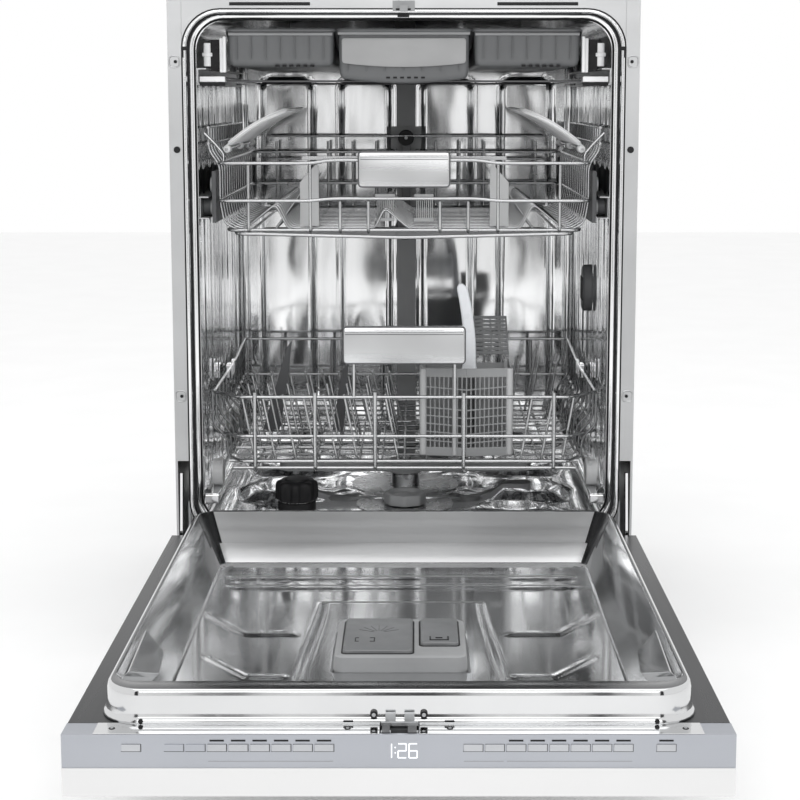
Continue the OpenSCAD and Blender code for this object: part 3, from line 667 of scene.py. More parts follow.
def make_upper_rack():
    depths = [66 + i * 28 for i in range(16)]
    rack_wires("upper_rack_cross_wires", [upper_cross_wire(y) for y in depths], 3, "upper_rack", 8,
               WIRE, ["upper_rack"])
    fronts = [-204, -123, -84, -47, 47, 84, 123, 204]
    uprights = []
    for x in fronts:
        top = 651 if abs(x) > 100 else 601
        uprights.append([(x, RACK_FRONT, top), (x, RACK_FRONT, 560), (x, RACK_BACK, 560),
                         (x, RACK_BACK, 668)])
    rack_wires("upper_rack_long_wires", uprights, 4, "upper_rack", 10)
    rim = []
    for z, dip in ((651, 4), (602, 3)):
        rim.append([(-243, RACK_FRONT - 2, z), (-120, RACK_FRONT - 2, z),
                    (-98, RACK_FRONT - 2, z + dip), (98, RACK_FRONT - 2, z + dip),
                    (120, RACK_FRONT - 2, z), (243, RACK_FRONT - 2, z), (243, RACK_BACK, z),
                    (-243, RACK_BACK, z), (-243, RACK_FRONT - 2, z)])
    rim.append([(-222, RACK_FRONT, 559), (0, RACK_FRONT - 3, 554), (222, RACK_FRONT, 559),
                (222, RACK_BACK, 559), (-222, RACK_BACK, 559), (-222, RACK_FRONT, 559)])
    rim.append(rect_loop(232, RACK_FRONT + 6, RACK_BACK - 4, 563))
    rack_wires("upper_rack_rims", rim, 4.6, "upper_rack", 16)
    sides = both([[(-257, 62, 697), (-257, 492, 697)], [(-257, 62, 676), (-257, 492, 676)],
                  [(-236, 78, 668), (-236, 452, 668)],
                  [(-262, 62, 690), (-248, 60, 676), (-236, 58, 662), (-236, 50, 652)]])
    rack_wires("upper_rack_side_rods", sides, 3.6, "upper_rack", 6)
    rear = [[(-220, RACK_BACK, 676), (220, RACK_BACK, 676)],
            [(-220, RACK_BACK, 640), (220, RACK_BACK, 640)]]
    rack_wires("upper_rack_rear_rods", rear, 4.2, "upper_rack", 6)
    blocks("upper_rack_flat_bar", [(-134, 50.5, 655, 134, 53, 660)], WIRE, "upper_rack",
           "rack_wire", bevel=0.6)
    make_combs()
    make_feed_pipe()


def make_combs():
    """Leaning glass supports with a slanted post at the front of each, and two small combs."""
    comb = [[(-173, y, 561), (-130, y, 622)] for y in range(96, 440, 16)]
    comb.append([(-173, 90, 561), (-173, 440, 561)])
    rack_wires("glass_combs", both(comb), 2.6, "upper_rack", 0.1)
    bm = bmesh.new()
    for side in SIDES:
        outline = [(-139, 566), (-114, 566), (-114, 646), (-118, 648), (-139, 624)]
        leaf(bm, [(side * x, z) for x, z in outline], 86, 4)
    for side in SIDES:
        for i in range(9):
            x = side * 26 - 10 + i * 2.6
            add_block(bm, (x, 96, 575), (x + 1.2, 99, 606))
        for z in (572, 604):
            add_block(bm, (side * 26 - 13, 95, z), (side * 26 + 13, 98, z + 4))
    finish_mesh("comb_posts", bm, LIGHT_GREY, "upper_rack", bevel=0.8)


def make_feed_pipe():
    """Water pipe under the upper rack, from the docking plug to the middle arm's post."""
    bm = bmesh.new()
    add_block(bm, (-11, 258, 549.5), (11, 506, 560))
    add_block(bm, (-7, 499, 554), (7, 506, 664))
    add_drum(bm, (0, 270, 544), 6, 24, "Z")
    add_drum(bm, (0, 270, 555), 15, 9, "Z", 32, 0.8)
    for y in range(290, 490, 40):
        add_block(bm, (-12.2, y, 549), (12.2, y + 2.4, 561))
    finish_mesh("upper_rack_feed_pipe", bm, DARK_GREY, "upper_rack", bevel=1.0)
    plug = bmesh.new()
    add_drum(plug, (0, 502, 673), 12.5, 8, "Y", 40)
    finish_mesh("docking_plug", plug, BLACK, "upper_rack", bevel=1.2)
    dot = bmesh.new()
    add_drum(dot, (0, 497.6, 673), 2.6, 1.2, "Y", 24)
    finish_mesh("docking_plug_centre", dot, LIGHT_GREY, "upper_rack", bevel=0.4)


def tine_paths(xs, y, low, high, lean):
    return [[(x, y, low), (x + lean, y, high)] for x in xs]


def make_fins():
    """Two slanted plate supports of dark plastic."""
    bm = bmesh.new()
    for y, outline in ((248, [(-207, 256), (-183, 256), (-170, 330), (-164, 388), (-172, 376)]),
                       (244, [(-106, 256), (-90, 256), (-84, 320), (-82, 356), (-92, 344)])):
        leaf(bm, outline, y, 3.2)
    finish_mesh("plate_supports", bm, DARK_GREY, "lower_rack", bevel=0.9)


def make_lower_rack():
    cross = []
    for i in range(11):
        y = 74 + i * 40
        rim = 341 + 12 * smoothstep(300, 500, y)
        left = [(-258, y, rim), (-258, y, 300), (-240, y, 280), (-238, y, 256), (-232, y, 249)]
        cross.append(left + [(-x, y, z) for x, _, z in reversed(left)])
    # The cross wires and floor wires take the painted-shade copy of the wire.
    rack_wires("lower_rack_cross_wires", cross, 3.2, "lower_rack", 7, WIRE_PAINTED_SHADE, ["lower_rack"])
    thick = []
    for x in (-199, -119, -39, 79, 199):
        thick.append([(x, RACK_FRONT - 3, 347), (x, RACK_FRONT - 3, 242),
                      (x, RACK_FRONT + 8, 241), (x, RACK_BACK, 244), (x, RACK_BACK + 2, 352)])
    rack_wires("lower_rack_main_wires", thick, 5.2, "lower_rack", 6)
    thin = [[(x, RACK_FRONT + 8, 254), (x, RACK_BACK - 6, 254)] for x in range(-180, 200, 30)]
    rack_wires("lower_rack_floor_wires", thin, 3.0, "lower_rack", 10, WIRE_PAINTED_SHADE)
    loops = []
    for z, rise, half in ((341, 12, 258), (288, 8, 258), (254, 0, 240)):
        loops.append([(-218, RACK_FRONT, z), (218, RACK_FRONT, z), (half, RACK_FRONT + 40, z),
                      (half, 330, z), (half, RACK_BACK, z + rise), (-half, RACK_BACK, z + rise),
                      (-half, 330, z), (-half, RACK_FRONT + 40, z), (-218, RACK_FRONT, z)])
    loops.append([(-228, RACK_FRONT, 245), (228, RACK_FRONT, 245)])
    rack_wires("lower_rack_rims", loops, 4.6, "lower_rack", 8)
    tines = []
    for y in (66, 150, 215):
        tines += tine_paths([-228 + 27.5 * i for i in range(1, 9)], y, 250, 341, -18)
    for y in (66, 345, 410):
        tines += tine_paths([156, 184, 212], y, 250, 341, 16)
    for y in (345, 410):
        tines += tine_paths([50, 78, 106, 134], y, 250, 341, 16)
    rack_wires("lower_rack_tines", tines, 3.6, "lower_rack")
    rods = [[(-236, y, 251), (0, y, 251)] for y in (66, 150, 215)]
    rods += [[(20, y, 251), (234, y, 251)] for y in (66, 345, 410)]
    rods += [[(side * 67, RACK_FRONT - 1, 341), (side * 67, RACK_FRONT - 1, 424)]
             for side in SIDES]
    rack_wires("lower_rack_rods", rods, 4.2, "lower_rack")
    fold = tine_paths([-205 + 25 * i for i in range(9)], 300, 258, 334, -19)
    fold.append([(-212, 300, 258), (8, 300, 258)])
    rack_wires("folding_tines", fold, 3.6, "lower_tines", 10, WIRE, ["lower_tines"])
    make_fins()
    blocks("lower_rack_clips", [(252, 262, 330, 262, 284, 350), (249, 266, 336, 255, 280, 356)],
           CHROME, "lower_rack", None, SIDES, bevel=1.6)


def make_handle(level, half, front, low, high):
    """A folded steel plate with a rolled bright top edge and a dark reveal round its face."""
    name, body, slot = level + "_handle", level + "_rack", "handle_steel"
    bm = bmesh.new()
    middle, hz = (low + high) / 2, (high - low) / 2
    steps = [(front + 7, 0.0), (front + 1.6, 0.0), (front + 0.4, -0.5), (front, -1.8)]
    rings = []
    for y, grow in steps:
        rings.append([at(x, y, middle + v) for x, v in
                      rounded_rect(half + grow, hz + grow, 5 + grow, 8)])
    closed_skin(bm, rings)
    finish_mesh(name + "_plate", bm, BRUSHED, body, slot, [body + "_handle"], sharp=50)
    outline = [(x, front - 0.2, middle + v) for x, v in rounded_rect(half - 0.4, hz - 0.4, 5, 6)]
    wires(name + "_reveal", [outline + outline[:1]], 1.7, DARK_GREY, body, None, (), 0.1)
    for part, y, z, width, mat, part_slot in (("_roll", front + 1, high - 5, 7.4, CHROME, slot),
                                              ("_lip", front - 0.3, high - 10.6, 0.9, DARK_GREY, None)):
        wires(name + part, [[(-half + 3, y, z), (half - 3, y, z)]], width, mat, body, part_slot,
              (), 0.1)


def make_handles():
    make_handle("lower", 81, 39, 387, 437)
    make_handle("upper", 60, 40, 620, 667)
    for level, clip in (("lower", (60, 45, 415, 74, 52, 430)),
                        ("upper", (34, 46, 650, 46, 54, 662))):
        blocks(level + "_handle_clips", [clip], GREY, level + "_rack", None, SIDES, bevel=1.2)


# ---- Cup shelves ----

SHELF_X, SHELF_Z, SHELF_LEN = 236, 668, 98
SHELF_Y = (90, 440)
SHELF_ANGLE = math.radians(30.5)


def shelf_point(side, u, y, lift):
    """A point on a cup shelf: u from its hinge, lift off its plane."""
    bulge = lift + 4 + 5 * math.sin(math.pi * u / SHELF_LEN)
    x = SHELF_X - u * math.cos(SHELF_ANGLE) + bulge * math.sin(SHELF_ANGLE)
    return at(side * x, y, SHELF_Z + u * math.sin(SHELF_ANGLE) + bulge * math.cos(SHELF_ANGLE))


def shelf_ends(u):
    """Front and rear ends of the leaf-shaped shelf at a distance u from its hinge."""
    t = u / SHELF_LEN
    draw_in = 46 * (1 - math.sqrt(max(0.0, 1 - (2 * t - 0.75) ** 2 / 1.6)))
    return SHELF_Y[0] + draw_in, SHELF_Y[1] - draw_in


def make_cup_shelf(side, body):
    steps = 24
    bm = bmesh.new()
    lines = []
    for i in range(steps + 1):
        u = -4 + (SHELF_LEN + 2) * i / steps
        low, high = shelf_ends(max(0, u))
        lines.append([shelf_point(side, u, low + (high - low) * j / 48, 0) for j in range(49)])
    skin(bm, lines, closed=False)
    plate = finish_mesh(body + "_leaf", bm, SHELF_WHITE, body, "shelf_plastic", [body], sharp=60)
    thicken(plate, 2.6)
    slats = bmesh.new()
    for k in range(24):
        y = SHELF_Y[0] + 12 + k * 14
        ring_rows = []
        for i in range(15):
            u = 5 + (SHELF_LEN - 12) * i / 14
            low, high = shelf_ends(u)
            yy = min(max(y, low + 4), high - 4)
            ring_rows.append([shelf_point(side, u, yy + across, lift) for across, lift in
                              ((-2.2, -2.6), (-1.6, 3.2), (1.6, 3.2), (2.2, -2.6))])
        skin(slats, ring_rows)
    finish_mesh(body + "_slats", slats, SHELF_WHITE, body, "shelf_plastic", sharp=50)
    knuckles = bmesh.new()
    for y in (102, 262, 428):
        add_drum(knuckles, (side * SHELF_X, y, SHELF_Z), 4.8, 22, "Y", 28)
    finish_mesh(body + "_knuckles", knuckles, SHELF_WHITE, body, "shelf_plastic", bevel=0.8)


# ---- Third rack ----


def make_tray(name, low_x, high_x, low_z, high_z, bowl):
    """One tray: rounded shell with a rolled lip, floor ribs and, in the middle, a deeper bowl."""
    cx, half = (low_x + high_x) / 2, (high_x - low_x) / 2
    cy, hy = 270, 230
    bm = bmesh.new()
    profile = [(high_z - 3, 1.6), (high_z - 0.8, 1.8), (high_z, 0.8), (high_z - 0.6, -0.6),
               (high_z - 5, -1.6), (low_z + 7, -2.4), (low_z + 2, -4.0), (low_z, -7)]
    rings = []
    for z, grow in profile:
        ring = []
        for x, v in rounded_rect(half + grow, hy + grow, max(2.0, 10 + grow), 6, 10):
            rear = smoothstep(-hy + 30, -hy + 60, v)
            sink = min(20 * rear, max(0.0, (z - low_z) * 0.55))
            front_sag = 0.0
            if v < -hy + 14:
                front_sag = bowl * (1 - (x / half) ** 2) * smoothstep(high_z, low_z, z)
            ring.append(at(cx + x, cy + v, z - sink - front_sag))
        rings.append(ring)
    rows = skin(bm, rings)
    cap(bm, list(reversed(rows[-1])))
    tray = finish_mesh(name, bm, MID_GREY, "third_rack", "tray_plastic", sharp=50)
    thicken(tray, 2.0)
    front_xs = [low_x + 12 + i * (high_x - low_x - 26) / 6 for i in range(7)]
    lip_xs = [low_x + 18 + i * (high_x - low_x - 48) / 3 for i in range(4)]
    ribs = [(low_x + 14, y, low_z + 0.6, high_x - 14, y + 2, low_z + 3.4)
            for y in range(70, 471, 50)]
    ribs += [(x, 38.6, low_z + 8, x + 0.9, 40.2, high_z - 8) for x in front_xs]
    ribs += [(x, 39.4, high_z - 3.4, x + 12, 41.2, high_z - 1.6) for x in lip_xs]
    blocks(name + "_ribs", ribs, MID_GREY, "third_rack", bevel=0.3)
    foot_xs = [low_x + 62 + i * 9 for i in range(6)]
    blocks(name + "_feet", [(x, 41, low_z - 1.6, x + 5, 47, low_z + 0.8) for x in foot_xs], BLACK,
           "third_rack", bevel=0.4)
    return tray


def make_third_rack():
    middle = make_tray("middle_tray", -85, 85, 762, 823, 7)
    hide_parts("third_rack_trays")
    make_tray("left_tray", -228, -90, 777, 823, 0)
    make_tray("right_tray", 90, 228, 777, 823, 0)
    face = bmesh.new()
    rings = []
    for y, grow in ((38.6, 0), (37.4, 0), (36.6, -0.8)):
        ring = []
        for x, v in rounded_rect(80 + grow, 16 + grow, 4 + grow, 6, 12):
            droop = 5 * (1 - (x / 80) ** 2) if v < 0 else 0
            ring.append(at(x, y, 796 + v - droop))
        rings.append(ring)
    closed_skin(face, rings)
    finish_mesh("middle_tray_face", face, INLAY_GREY, "third_rack", "tray_plastic", sharp=50)
    # Painted highlight: lighter grey wires along the front lips of the trays, which are all one
    # plastic.
    wires("tray_lip_painted_highlights", [[(-85, 38.4, 818), (85, 38.4, 818)], [(-226, 38.8, 817), (-92, 38.8, 817)],
                        [(92, 38.8, 817), (226, 38.8, 817)]], 4.4, GREY, "third_rack",
          "tray_plastic")
    rack_wires("third_rack_wires", both([[(241, 46, 761), (241, 498, 761)],
                                         [(232, 48, 757), (232, 496, 757)]]), 4, "third_rack", 6,
               WIRE, ["third_rack_frame"])
    wires("third_rack_cross_wires", [[(-241, y, 757), (241, y, 757)] for y in (60, 480)], 2.6,
          DARK_GREY, "third_rack")
    ends = bmesh.new()
    for side in SIDES:
        add_block(ends, (side * 229.5, 38, 768), (side * 233.5, 46, 814))
        add_block(ends, (side * 233.5, 42, 768), (side * 238, 44, 812))
        add_drum(ends, (side * 254, 50, 791), 5.4, 30, "Z")
        add_drum(ends, (side * 254, 50, 791), 7.4, 5, "Z")
        add_block(ends, (side * 231, 38.6, 756), (side * 264, 44, 763))
    finish_mesh("third_rack_brackets", ends, SHELF_WHITE, "third_rack", bevel=1.2)
    dots = bmesh.new()
    for side in SIDES:
        for z in (776, 800):
            add_drum(dots, (side * 242, 44.6, z), 2.8, 2.4, "Y", 20)
        add_block(dots, (side * 238, 46, 770), (side * 250, 52, 810))
        add_block(dots, (side * 231, 39.4, 751), (side * 264, 44, 755.6))
    finish_mesh("third_rack_bracket_dots", dots, BLACK, "third_rack", bevel=0.3)


# ---- Cutlery basket ----

BASKET_X, BASKET_Y, BASKET_Z = (22, 145), (76, 164), (255, 375)


def basket_front(x):
    """Depth of the basket's front, which comes to a shallow ridge in the middle."""
    middle, half = sum(BASKET_X) / 2, (BASKET_X[1] - BASKET_X[0]) / 2
    return BASKET_Y[0] + 8 * abs(x - middle) / half - 3.5


def make_basket():
    bm = bmesh.new()
    x0, x1 = BASKET_X
    y0, y1 = BASKET_Y[0] + 4, BASKET_Y[1]
    z0, z1 = BASKET_Z
    middle, bar = (x0 + x1) / 2, 1.9
    for i in range(19):
        x = x0 + 7 + i * (x1 - x0 - 14) / 18
        y = basket_front(x)
        add_block(bm, (x - bar / 2, y, z0 + 6), (x + bar / 2, y + 2, z1 - 8))
    for j in range(12):
        y = y0 + 6 + j * 7
        for x in (x0, x1 - 2):
            add_block(bm, (x, y, z0 + 6), (x + 2, y + bar, z1 - 2))
    for z in (276, 288, 299, 310, 321, 349):
        front_rail(bm, z, 1.8)
        for x in (x0 - 0.2, x1 - 2):
            add_block(bm, (x, y0, z), (x + 2.2, y1, z + 1.8))
    for z in (z0, 363):
        front_rail(bm, z, 12)
        for x in (x0, x1 - 2):
            add_block(bm, (x, y0, z), (x + 2, y1, z + 12))
    add_block(bm, (x0, y1 - 2, z0), (x1, y1, z1 - 6))
    for i in range(14):
        y = y0 + 4 + i * 6.2
        add_block(bm, (x0 + 1, y, z0), (x1 - 1, y + 2.6, z0 + 2.2))
    for x in (middle - 14, middle + 12):
        add_block(bm, (x, y0 + 2, z0), (x + 2, y1, z1 - 14))
    finish_mesh("basket_lattice", bm, BASKET, "cutlery_basket", "basket_plastic",
                ["cutlery_basket"], bevel=0.35, segments=1)
    # The pillars are a lighter grey than the lattice of the same basket plastic: a painted highlight.
    pillars = bmesh.new()
    for x, r in ((x0 + 3, 4.6), (x1 - 3, 4.6), (middle - 16, 2.6)):
        add_drum(pillars, (x, basket_front(x) + r - 2.4, (z0 + z1) / 2), r, z1 - z0 - 2, "Z", 24)
    for x in (x0 + 3, x1 - 3):
        add_drum(pillars, (x, y1 - 4, (z0 + z1) / 2), 4, z1 - z0 - 2, "Z", 24)
    finish_mesh("basket_pillars_painted_highlight", pillars, LIGHT_GREY, "cutlery_basket", "basket_plastic",
                bevel=1.2)
    make_basket_handle()
    make_basket_lid()


def front_rail(bm, z, height):
    """A rail across the basket's ridged front. A thin one dips in the middle."""
    middle = sum(BASKET_X) / 2
    dip = 4 if height < 3 else 0
    for x_a, x_b in ((BASKET_X[0], middle), (middle, BASKET_X[1])):
        ya, yb = basket_front(x_a), basket_front(x_b)
        za, zb = (z - dip if x == middle else z for x in (x_a, x_b))
        low = [(x_a, ya - 0.2, za), (x_b, yb - 0.2, zb), (x_b, yb + 2, zb), (x_a, ya + 2, za)]
        closed_skin(bm, [[at(x, y, zz + lift) for x, y, zz in low] for lift in (0, height)])


def make_basket_handle():
    """The tall bent handle: wide at its foot, narrow and leaning at its top."""
    bm = bmesh.new()
    rings = []
    for i in range(29):
        t = i / 28
        z = 362 + 123 * t
        centre = 88 - 11 * t ** 1.6 + 3 * math.sin(math.pi * t)
        half = 9 - 1.6 * t + 2.4 * math.exp(-(t / 0.08) ** 2)
        if t > 0.93:
            half *= math.sqrt(max(0.05, 1 - ((t - 0.93) / 0.075) ** 2))
        depth = 3.2
        rings.append([at(centre + x, 118 + v, z) for x, v in
                      rounded_rect(half, depth, min(half, depth) * 0.9, 5)])
    closed_skin(bm, rings)
    finish_mesh("basket_handle", bm, WHITE, "cutlery_basket", sharp=60)


def make_basket_lid():
    """The slatted lid, leaning back from its hinge rod."""
    turn = Matrix.Rotation(math.radians(30), 4, "X")
    hinge = (0, 168, 378)
    bm = bmesh.new()
    for i in range(5):
        x = 98 + i * 11.4
        add_block(bm, (x, 170, 376.9), (x + 2.4, 255, 379.1), turn, hinge)
    for y in range(172, 254, 9):
        add_block(bm, (98, y, 377.1), (146, y + 5.6, 378.9), turn, hinge)
    for x in (99, 141):
        add_drum(bm, (x + 2, 168, 378), 2.6, 5, "X", 20)
    finish_mesh("basket_lid_slats", bm, BASKET, "basket_lid", "basket_plastic", ["basket_lid"],
                bevel=0.3, segments=1)


# ---- Door liner ----

DOOR_TOP, RIM_TOP, RECESS_Z = 178, 209, 172
# Each side's screws in the steel strip in front of the raised block.
STRIP_SCREWS = ((45.7, -704.3), (22.3, -711.5), (256, -704))
BLOCK_Y, RECESS_BOTTOM_Y, BLOCK_HALF = (-694, -34), (-642, -156), 271.5
# Faces further back than these belong to the rear slope's upper and lower part, and to its foot;
# mark_rows gives them painted shade at the corners and a painted highlight low down.
UPPER_SLOPE_Y, LOWER_SLOPE_Y, PAINTED_HIGHLIGHT_FLOOR_Y = -110, -148, -172


def plan_ring(half_x, y0, y1, radius, height, corner_steps=7, side_steps=84):
    """A rounded rectangle in plan. Its height is a number or a function of x and y."""
    middle, hy = (y0 + y1) / 2, (y1 - y0) / 2
    height_at = height if callable(height) else lambda x, y: height
    return [at(x, middle + v, height_at(x, middle + v)) for x, v in
            rounded_rect(half_x, hy, radius, corner_steps, side_steps)]


def crease(x, y, start, corner, end_x):
    """A pressed crease that runs inward at an angle from start to corner, then across to end_x."""
    x = abs(x)
    (x0, y0), (x1, y1) = start, corner
    if x >= x1:
        line_y = y1 + (y0 - y1) * (x - x1) / (x0 - x1)
        reach = 1 - smoothstep(x0 - 4, x0 + 4, x)
    else:
        line_y, reach = y1, smoothstep(end_x - 4, end_x + 4, x)
    return 1.3 * reach * math.exp(-((y - line_y) / 4.6) ** 2)


def liner_relief(x, y):
    """The recess floor's relief: a raised field round the dispenser, creases and cross lines."""
    front, rear = -600, -318
    half = 102 - 13 * smoothstep(front, rear, y)
    edge = max(abs(x) - half, front - y, y - rear)
    relief = 4.5 * (1 - smoothstep(-9, 5, edge))
    relief += crease(x, y, (213, -358), (167, -425), 112)
    relief += crease(x, y, (197, -498), (151, -557), 114)
    across = 1 - smoothstep(196, 208, abs(x))
    relief += across * 1.6 * (math.exp(-((y + 221) / 5) ** 2) + math.exp(-((y + 258) / 5) ** 2))
    return relief


def make_door_liner():
    """One pressed sheet: stepped outer wall, flat rim, four sloping sides and a relief floor."""
    bm = bmesh.new()
    rings = []
    profile = [(0, 0, 36, DOOR_TOP + 0.4), (0.4, 0.3, 36, 180.6), (1.0, 0.8, 36, 182.4),
               (2.4, 1.8, 36, 183.2), (2.8, 2.4, 35.5, 184.6), (3.2, 2.8, 35, 190),
               (4.0, 3.2, 34.5, 203), (4.8, 3.8, 34, 207), (5.8, 4.6, 33, 208.6),
               (7.2, 6.0, 32, RIM_TOP)]
    for inset, pull, radius, z in profile:
        rings.append(plan_ring(BLOCK_HALF - inset, BLOCK_Y[0] + pull, BLOCK_Y[1] - inset, radius,
                               z))
    rim_row = len(rings) - 1
    slopes = [(262, -668, -45, 22, RIM_TOP), (261, -667, -46, 21, 208.5),
              (237.3, -651.9, -114.7, 14.7, 186.1), (223.4, -643, -155, 11, 172.9)]
    rings += [plan_ring(*slope) for slope in slopes]
    slope_row = len(rings) - 3
    low_half, low_y = 222, RECESS_BOTTOM_Y
    rings.append(plan_ring(low_half, *low_y, 10, RECESS_Z))
    hole_x, hole_y = 66.5, (-555.5, -434.5)
    count = 44
    for k in range(1, count + 1):
        t = k / count
        rings.append(plan_ring(low_half + (hole_x - low_half) * t,
                               low_y[0] + (hole_y[0] - low_y[0]) * t,
                               low_y[1] + (hole_y[1] - low_y[1]) * t, 10 - 6 * t,
                               lambda x, y: RECESS_Z + liner_relief(x, y)))
    rows = skin(bm, rings)
    mark_rows(bm, rows, rim_row, slope_row)
    liner = finish_mesh("door_liner_pressing", bm, LINER, "door", "liner_steel",
                        ["door_liner"], sharp=60)
    for mat in (LINER_PAINTED_SHADE, LINER_SATIN, LINER_PAINTED_HIGHLIGHT):
        liner.data.materials.append(mat)
    thicken(liner, 0.8)
    border = bmesh.new()
    low, high = DOOR_TOP - 0.6, DOOR_TOP + 0.2
    add_blocks(border, [(260, -690, low, 298.4, -48, high), (260, -48, low, 277.4, -13.4, high)],
               SIDES)
    add_blocks(border, [(-260, -60, low, 260, -13.4, high), (-260, -690, low, 260, -660, high)])
    finish_mesh("door_border", border, BORDER, "door", "liner_steel", bevel=0.2)
    make_front_flange()
    make_recess_facets()


def mark_rows(bm, rows, rim_row, slope_row):
    """Painted shade (a dark copy of the liner steel) on the rim and rear corners, satin on the rear
    slope, and a painted highlight (a bright copy) low down on it and at its foot.
    """
    bm.faces.ensure_lookup_table()
    per_row = len(rows[0])
    for index, face in enumerate(bm.faces):
        row = index // per_row
        spot = (face.calc_center_median() - at(0, 0, 0)) / MM
        # Material 1 is painted shade, 2 satin steel, 3 a painted highlight.
        if row == rim_row:
            face.material_index = 1
        elif row == slope_row and spot.y > UPPER_SLOPE_Y:
            face.material_index = 1 if abs(spot.x) > 234 else 2
        elif row == slope_row + 1 and spot.y > LOWER_SLOPE_Y:
            face.material_index = 1 if abs(spot.x) > 222 else 3
        elif row > slope_row + 2 and spot.y > PAINTED_HIGHLIGHT_FLOOR_Y:
            face.material_index = 3


def make_recess_facets():
    """A wedge pressed into each side slope near its front."""
    bm = bmesh.new()
    base = [(257, -510, 205.2), (237, -520, 185.6), (235, -589, 183.8), (256, -641, 204.2)]
    lifts = (0.4, 0.4, 4.5, 4.5)
    for side in SIDES:
        low = [at(side * (x + 1.5), y, z - 1.5) for x, y, z in base]
        top = [at(side * (x - lift), y, z + lift) for (x, y, z), lift in zip(base, lifts)]
        closed_skin(bm, [low, top])
    finish_mesh("recess_facets", bm, LINER, "door", "liner_steel", bevel=1.2, segments=3)


def make_front_flange():
    """The steel strip in front of the raised block, its screw holes, slots and latch plate."""
    blocks("liner_front_flange", [(x0, -716.6, DOOR_TOP, x1, -690.4, DOOR_TOP + 0.6)
                                  for x0, x1 in ((-271, -17), (18.5, 271))], LINER, "door",
           "liner_steel", bevel=0.3)
    holes = bmesh.new()
    for side in SIDES:
        for x, y in STRIP_SCREWS:
            add_drum(holes, (side * x, y, DOOR_TOP + 0.65), 3.0, 0.5, "Z", 24)
        for x, z, r in ((22.5, 187.7, 3.4), (232, 181.2, 2.2)):
            add_drum(holes, (side * x, -693.0, z), r, 4.4, "Y", 24)
        add_block(holes, (side * 41, -694.6, 180.4), (side * 50, -693, 182.2))
    finish_mesh("liner_screw_holes", holes, BLACK, "door", bevel=0.3, segments=1)
    heads = bmesh.new()
    for side in SIDES:
        add_drum(heads, (side * 22.5, -695.4, 187.7), 1.8, 0.8, "Y", 20)
        for x, y in STRIP_SCREWS:
            add_drum(heads, (side * x, y, DOOR_TOP + 1.1), 1.5, 0.4, "Z", 20)
    add_block(heads, (-12, -697.4, 179), (-3, -693.6, 190))
    add_block(heads, (5, -697.4, 179), (14, -693.6, 190))
    for x0, x1 in ((-16, -7), (8.5, 17.5)):
        add_block(heads, (x0, -713, DOOR_TOP - 0.4), (x1, -708, DOOR_TOP + 0.6))
    add_block(heads, (-16, -698.5, DOOR_TOP + 0.4), (17.5, -695.5, 182))
    finish_mesh("latch_plate", heads, GALVANISED, "door", bevel=0.5)


# ---- Controls ----

KEY_PITCH, BANK_START, END_KEY_X, KEY_Z, TIP_Y = 19, 66, 237, 166, -718


def make_controls():
    """LED dashes over the keys, painted shadows under and to the right of them, group lines and the lit
    digits.
    """
    led_xs = [-(BANK_START + KEY_PITCH * i) for i in range(6)]
    led_xs += [BANK_START + KEY_PITCH * i for i in range(2, 8)] + [END_KEY_X]
    blocks("led_windows", [(x - 6.4, TIP_Y + 0.6, KEY_Z + 5.6, x + 6.4, TIP_Y + 1.6, KEY_Z + 7.2)
                           for x in led_xs], BLACK, "door", bevel=0.15, segments=1)
    # Painted shadow: a dark strip along the bottom and the right side of each key.
    key_shadows = bmesh.new()
    shaded_key_xs = [side * (BANK_START + KEY_PITCH * i) for i in range(8) for side in SIDES]
    for x in shaded_key_xs + [-END_KEY_X, END_KEY_X]:
        add_block(key_shadows, (x - 8.9, TIP_Y + 0.75, KEY_Z - 4.0), (x + 9.1, TIP_Y + 1.4, KEY_Z - 3.2))
        add_block(key_shadows, (x + 8.4, TIP_Y + 0.75, KEY_Z - 3.2), (x + 9.1, TIP_Y + 1.4, KEY_Z + 3.2))
    finish_mesh("key_painted_shadows", key_shadows, DARK_GREY, "door", bevel=0.1, segments=1)
    groups = [(-161 - 8, -66 + 8), (66 - 8, 85 + 8), (104 - 8, 199 + 8)]
    blocks("group_lines", [(a, TIP_Y + 0.8, KEY_Z - 13.0, b, TIP_Y + 1.2, KEY_Z - 12.5)
                           for a, b in groups], GREY, "door", bevel=0.08, segments=1)
    digits = bmesh.new()
    width, height, stroke = 7.2, 13.0, 1.0
    segments = {"1": "bc", "2": "abged", "6": "afgedc"}
    for char, x in (("1", -13.5), ("2", -0.5), ("6", 9.2)):
        for name in segments[char]:
            seven_segment(digits, name, x, 156.5, width, height, stroke)
    for z in (160.5, 165.5):
        add_block(digits, (-3.6, TIP_Y + 0.75, z), (-2.5, TIP_Y + 1.2, z + 1.1))
    finish_mesh("display_digits", digits, DIGITS, "door", bevel=0.1, segments=1)


def seven_segment(bm, name, x, z, width, height, stroke):
    """One bar of a seven-segment digit whose lower left corner is at x, z."""
    half = height / 2
    bars = {"a": (0, height, width, 0), "g": (0, half, width, 0), "d": (0, 0, width, 0),
            "f": (0, half, 0, half), "e": (0, 0, 0, half), "b": (width, half, 0, half),
            "c": (width, 0, 0, half)}
    bx, bz, lx, lz = bars[name]
    gap = 0.5
    low = (x + bx - stroke / 2 + (gap if lx else 0), TIP_Y + 0.75,
           z + bz - stroke / 2 + (gap if lz else 0))
    high = (x + bx + lx + stroke / 2 - (gap if lx else 0), TIP_Y + 1.2,
            z + bz + lz + stroke / 2 - (gap if lz else 0))
    add_block(bm, low, high)


# ---- Dispenser ----

# Each lid's name, its left and right edges and its front edge.
LIDS = (("detergent_lid", -57, 12, -546), ("rinse_aid_lid", 20, 58, -523))
LID_REAR, LID_TOP, SEAT_Z = -445, 196.4, 193.05


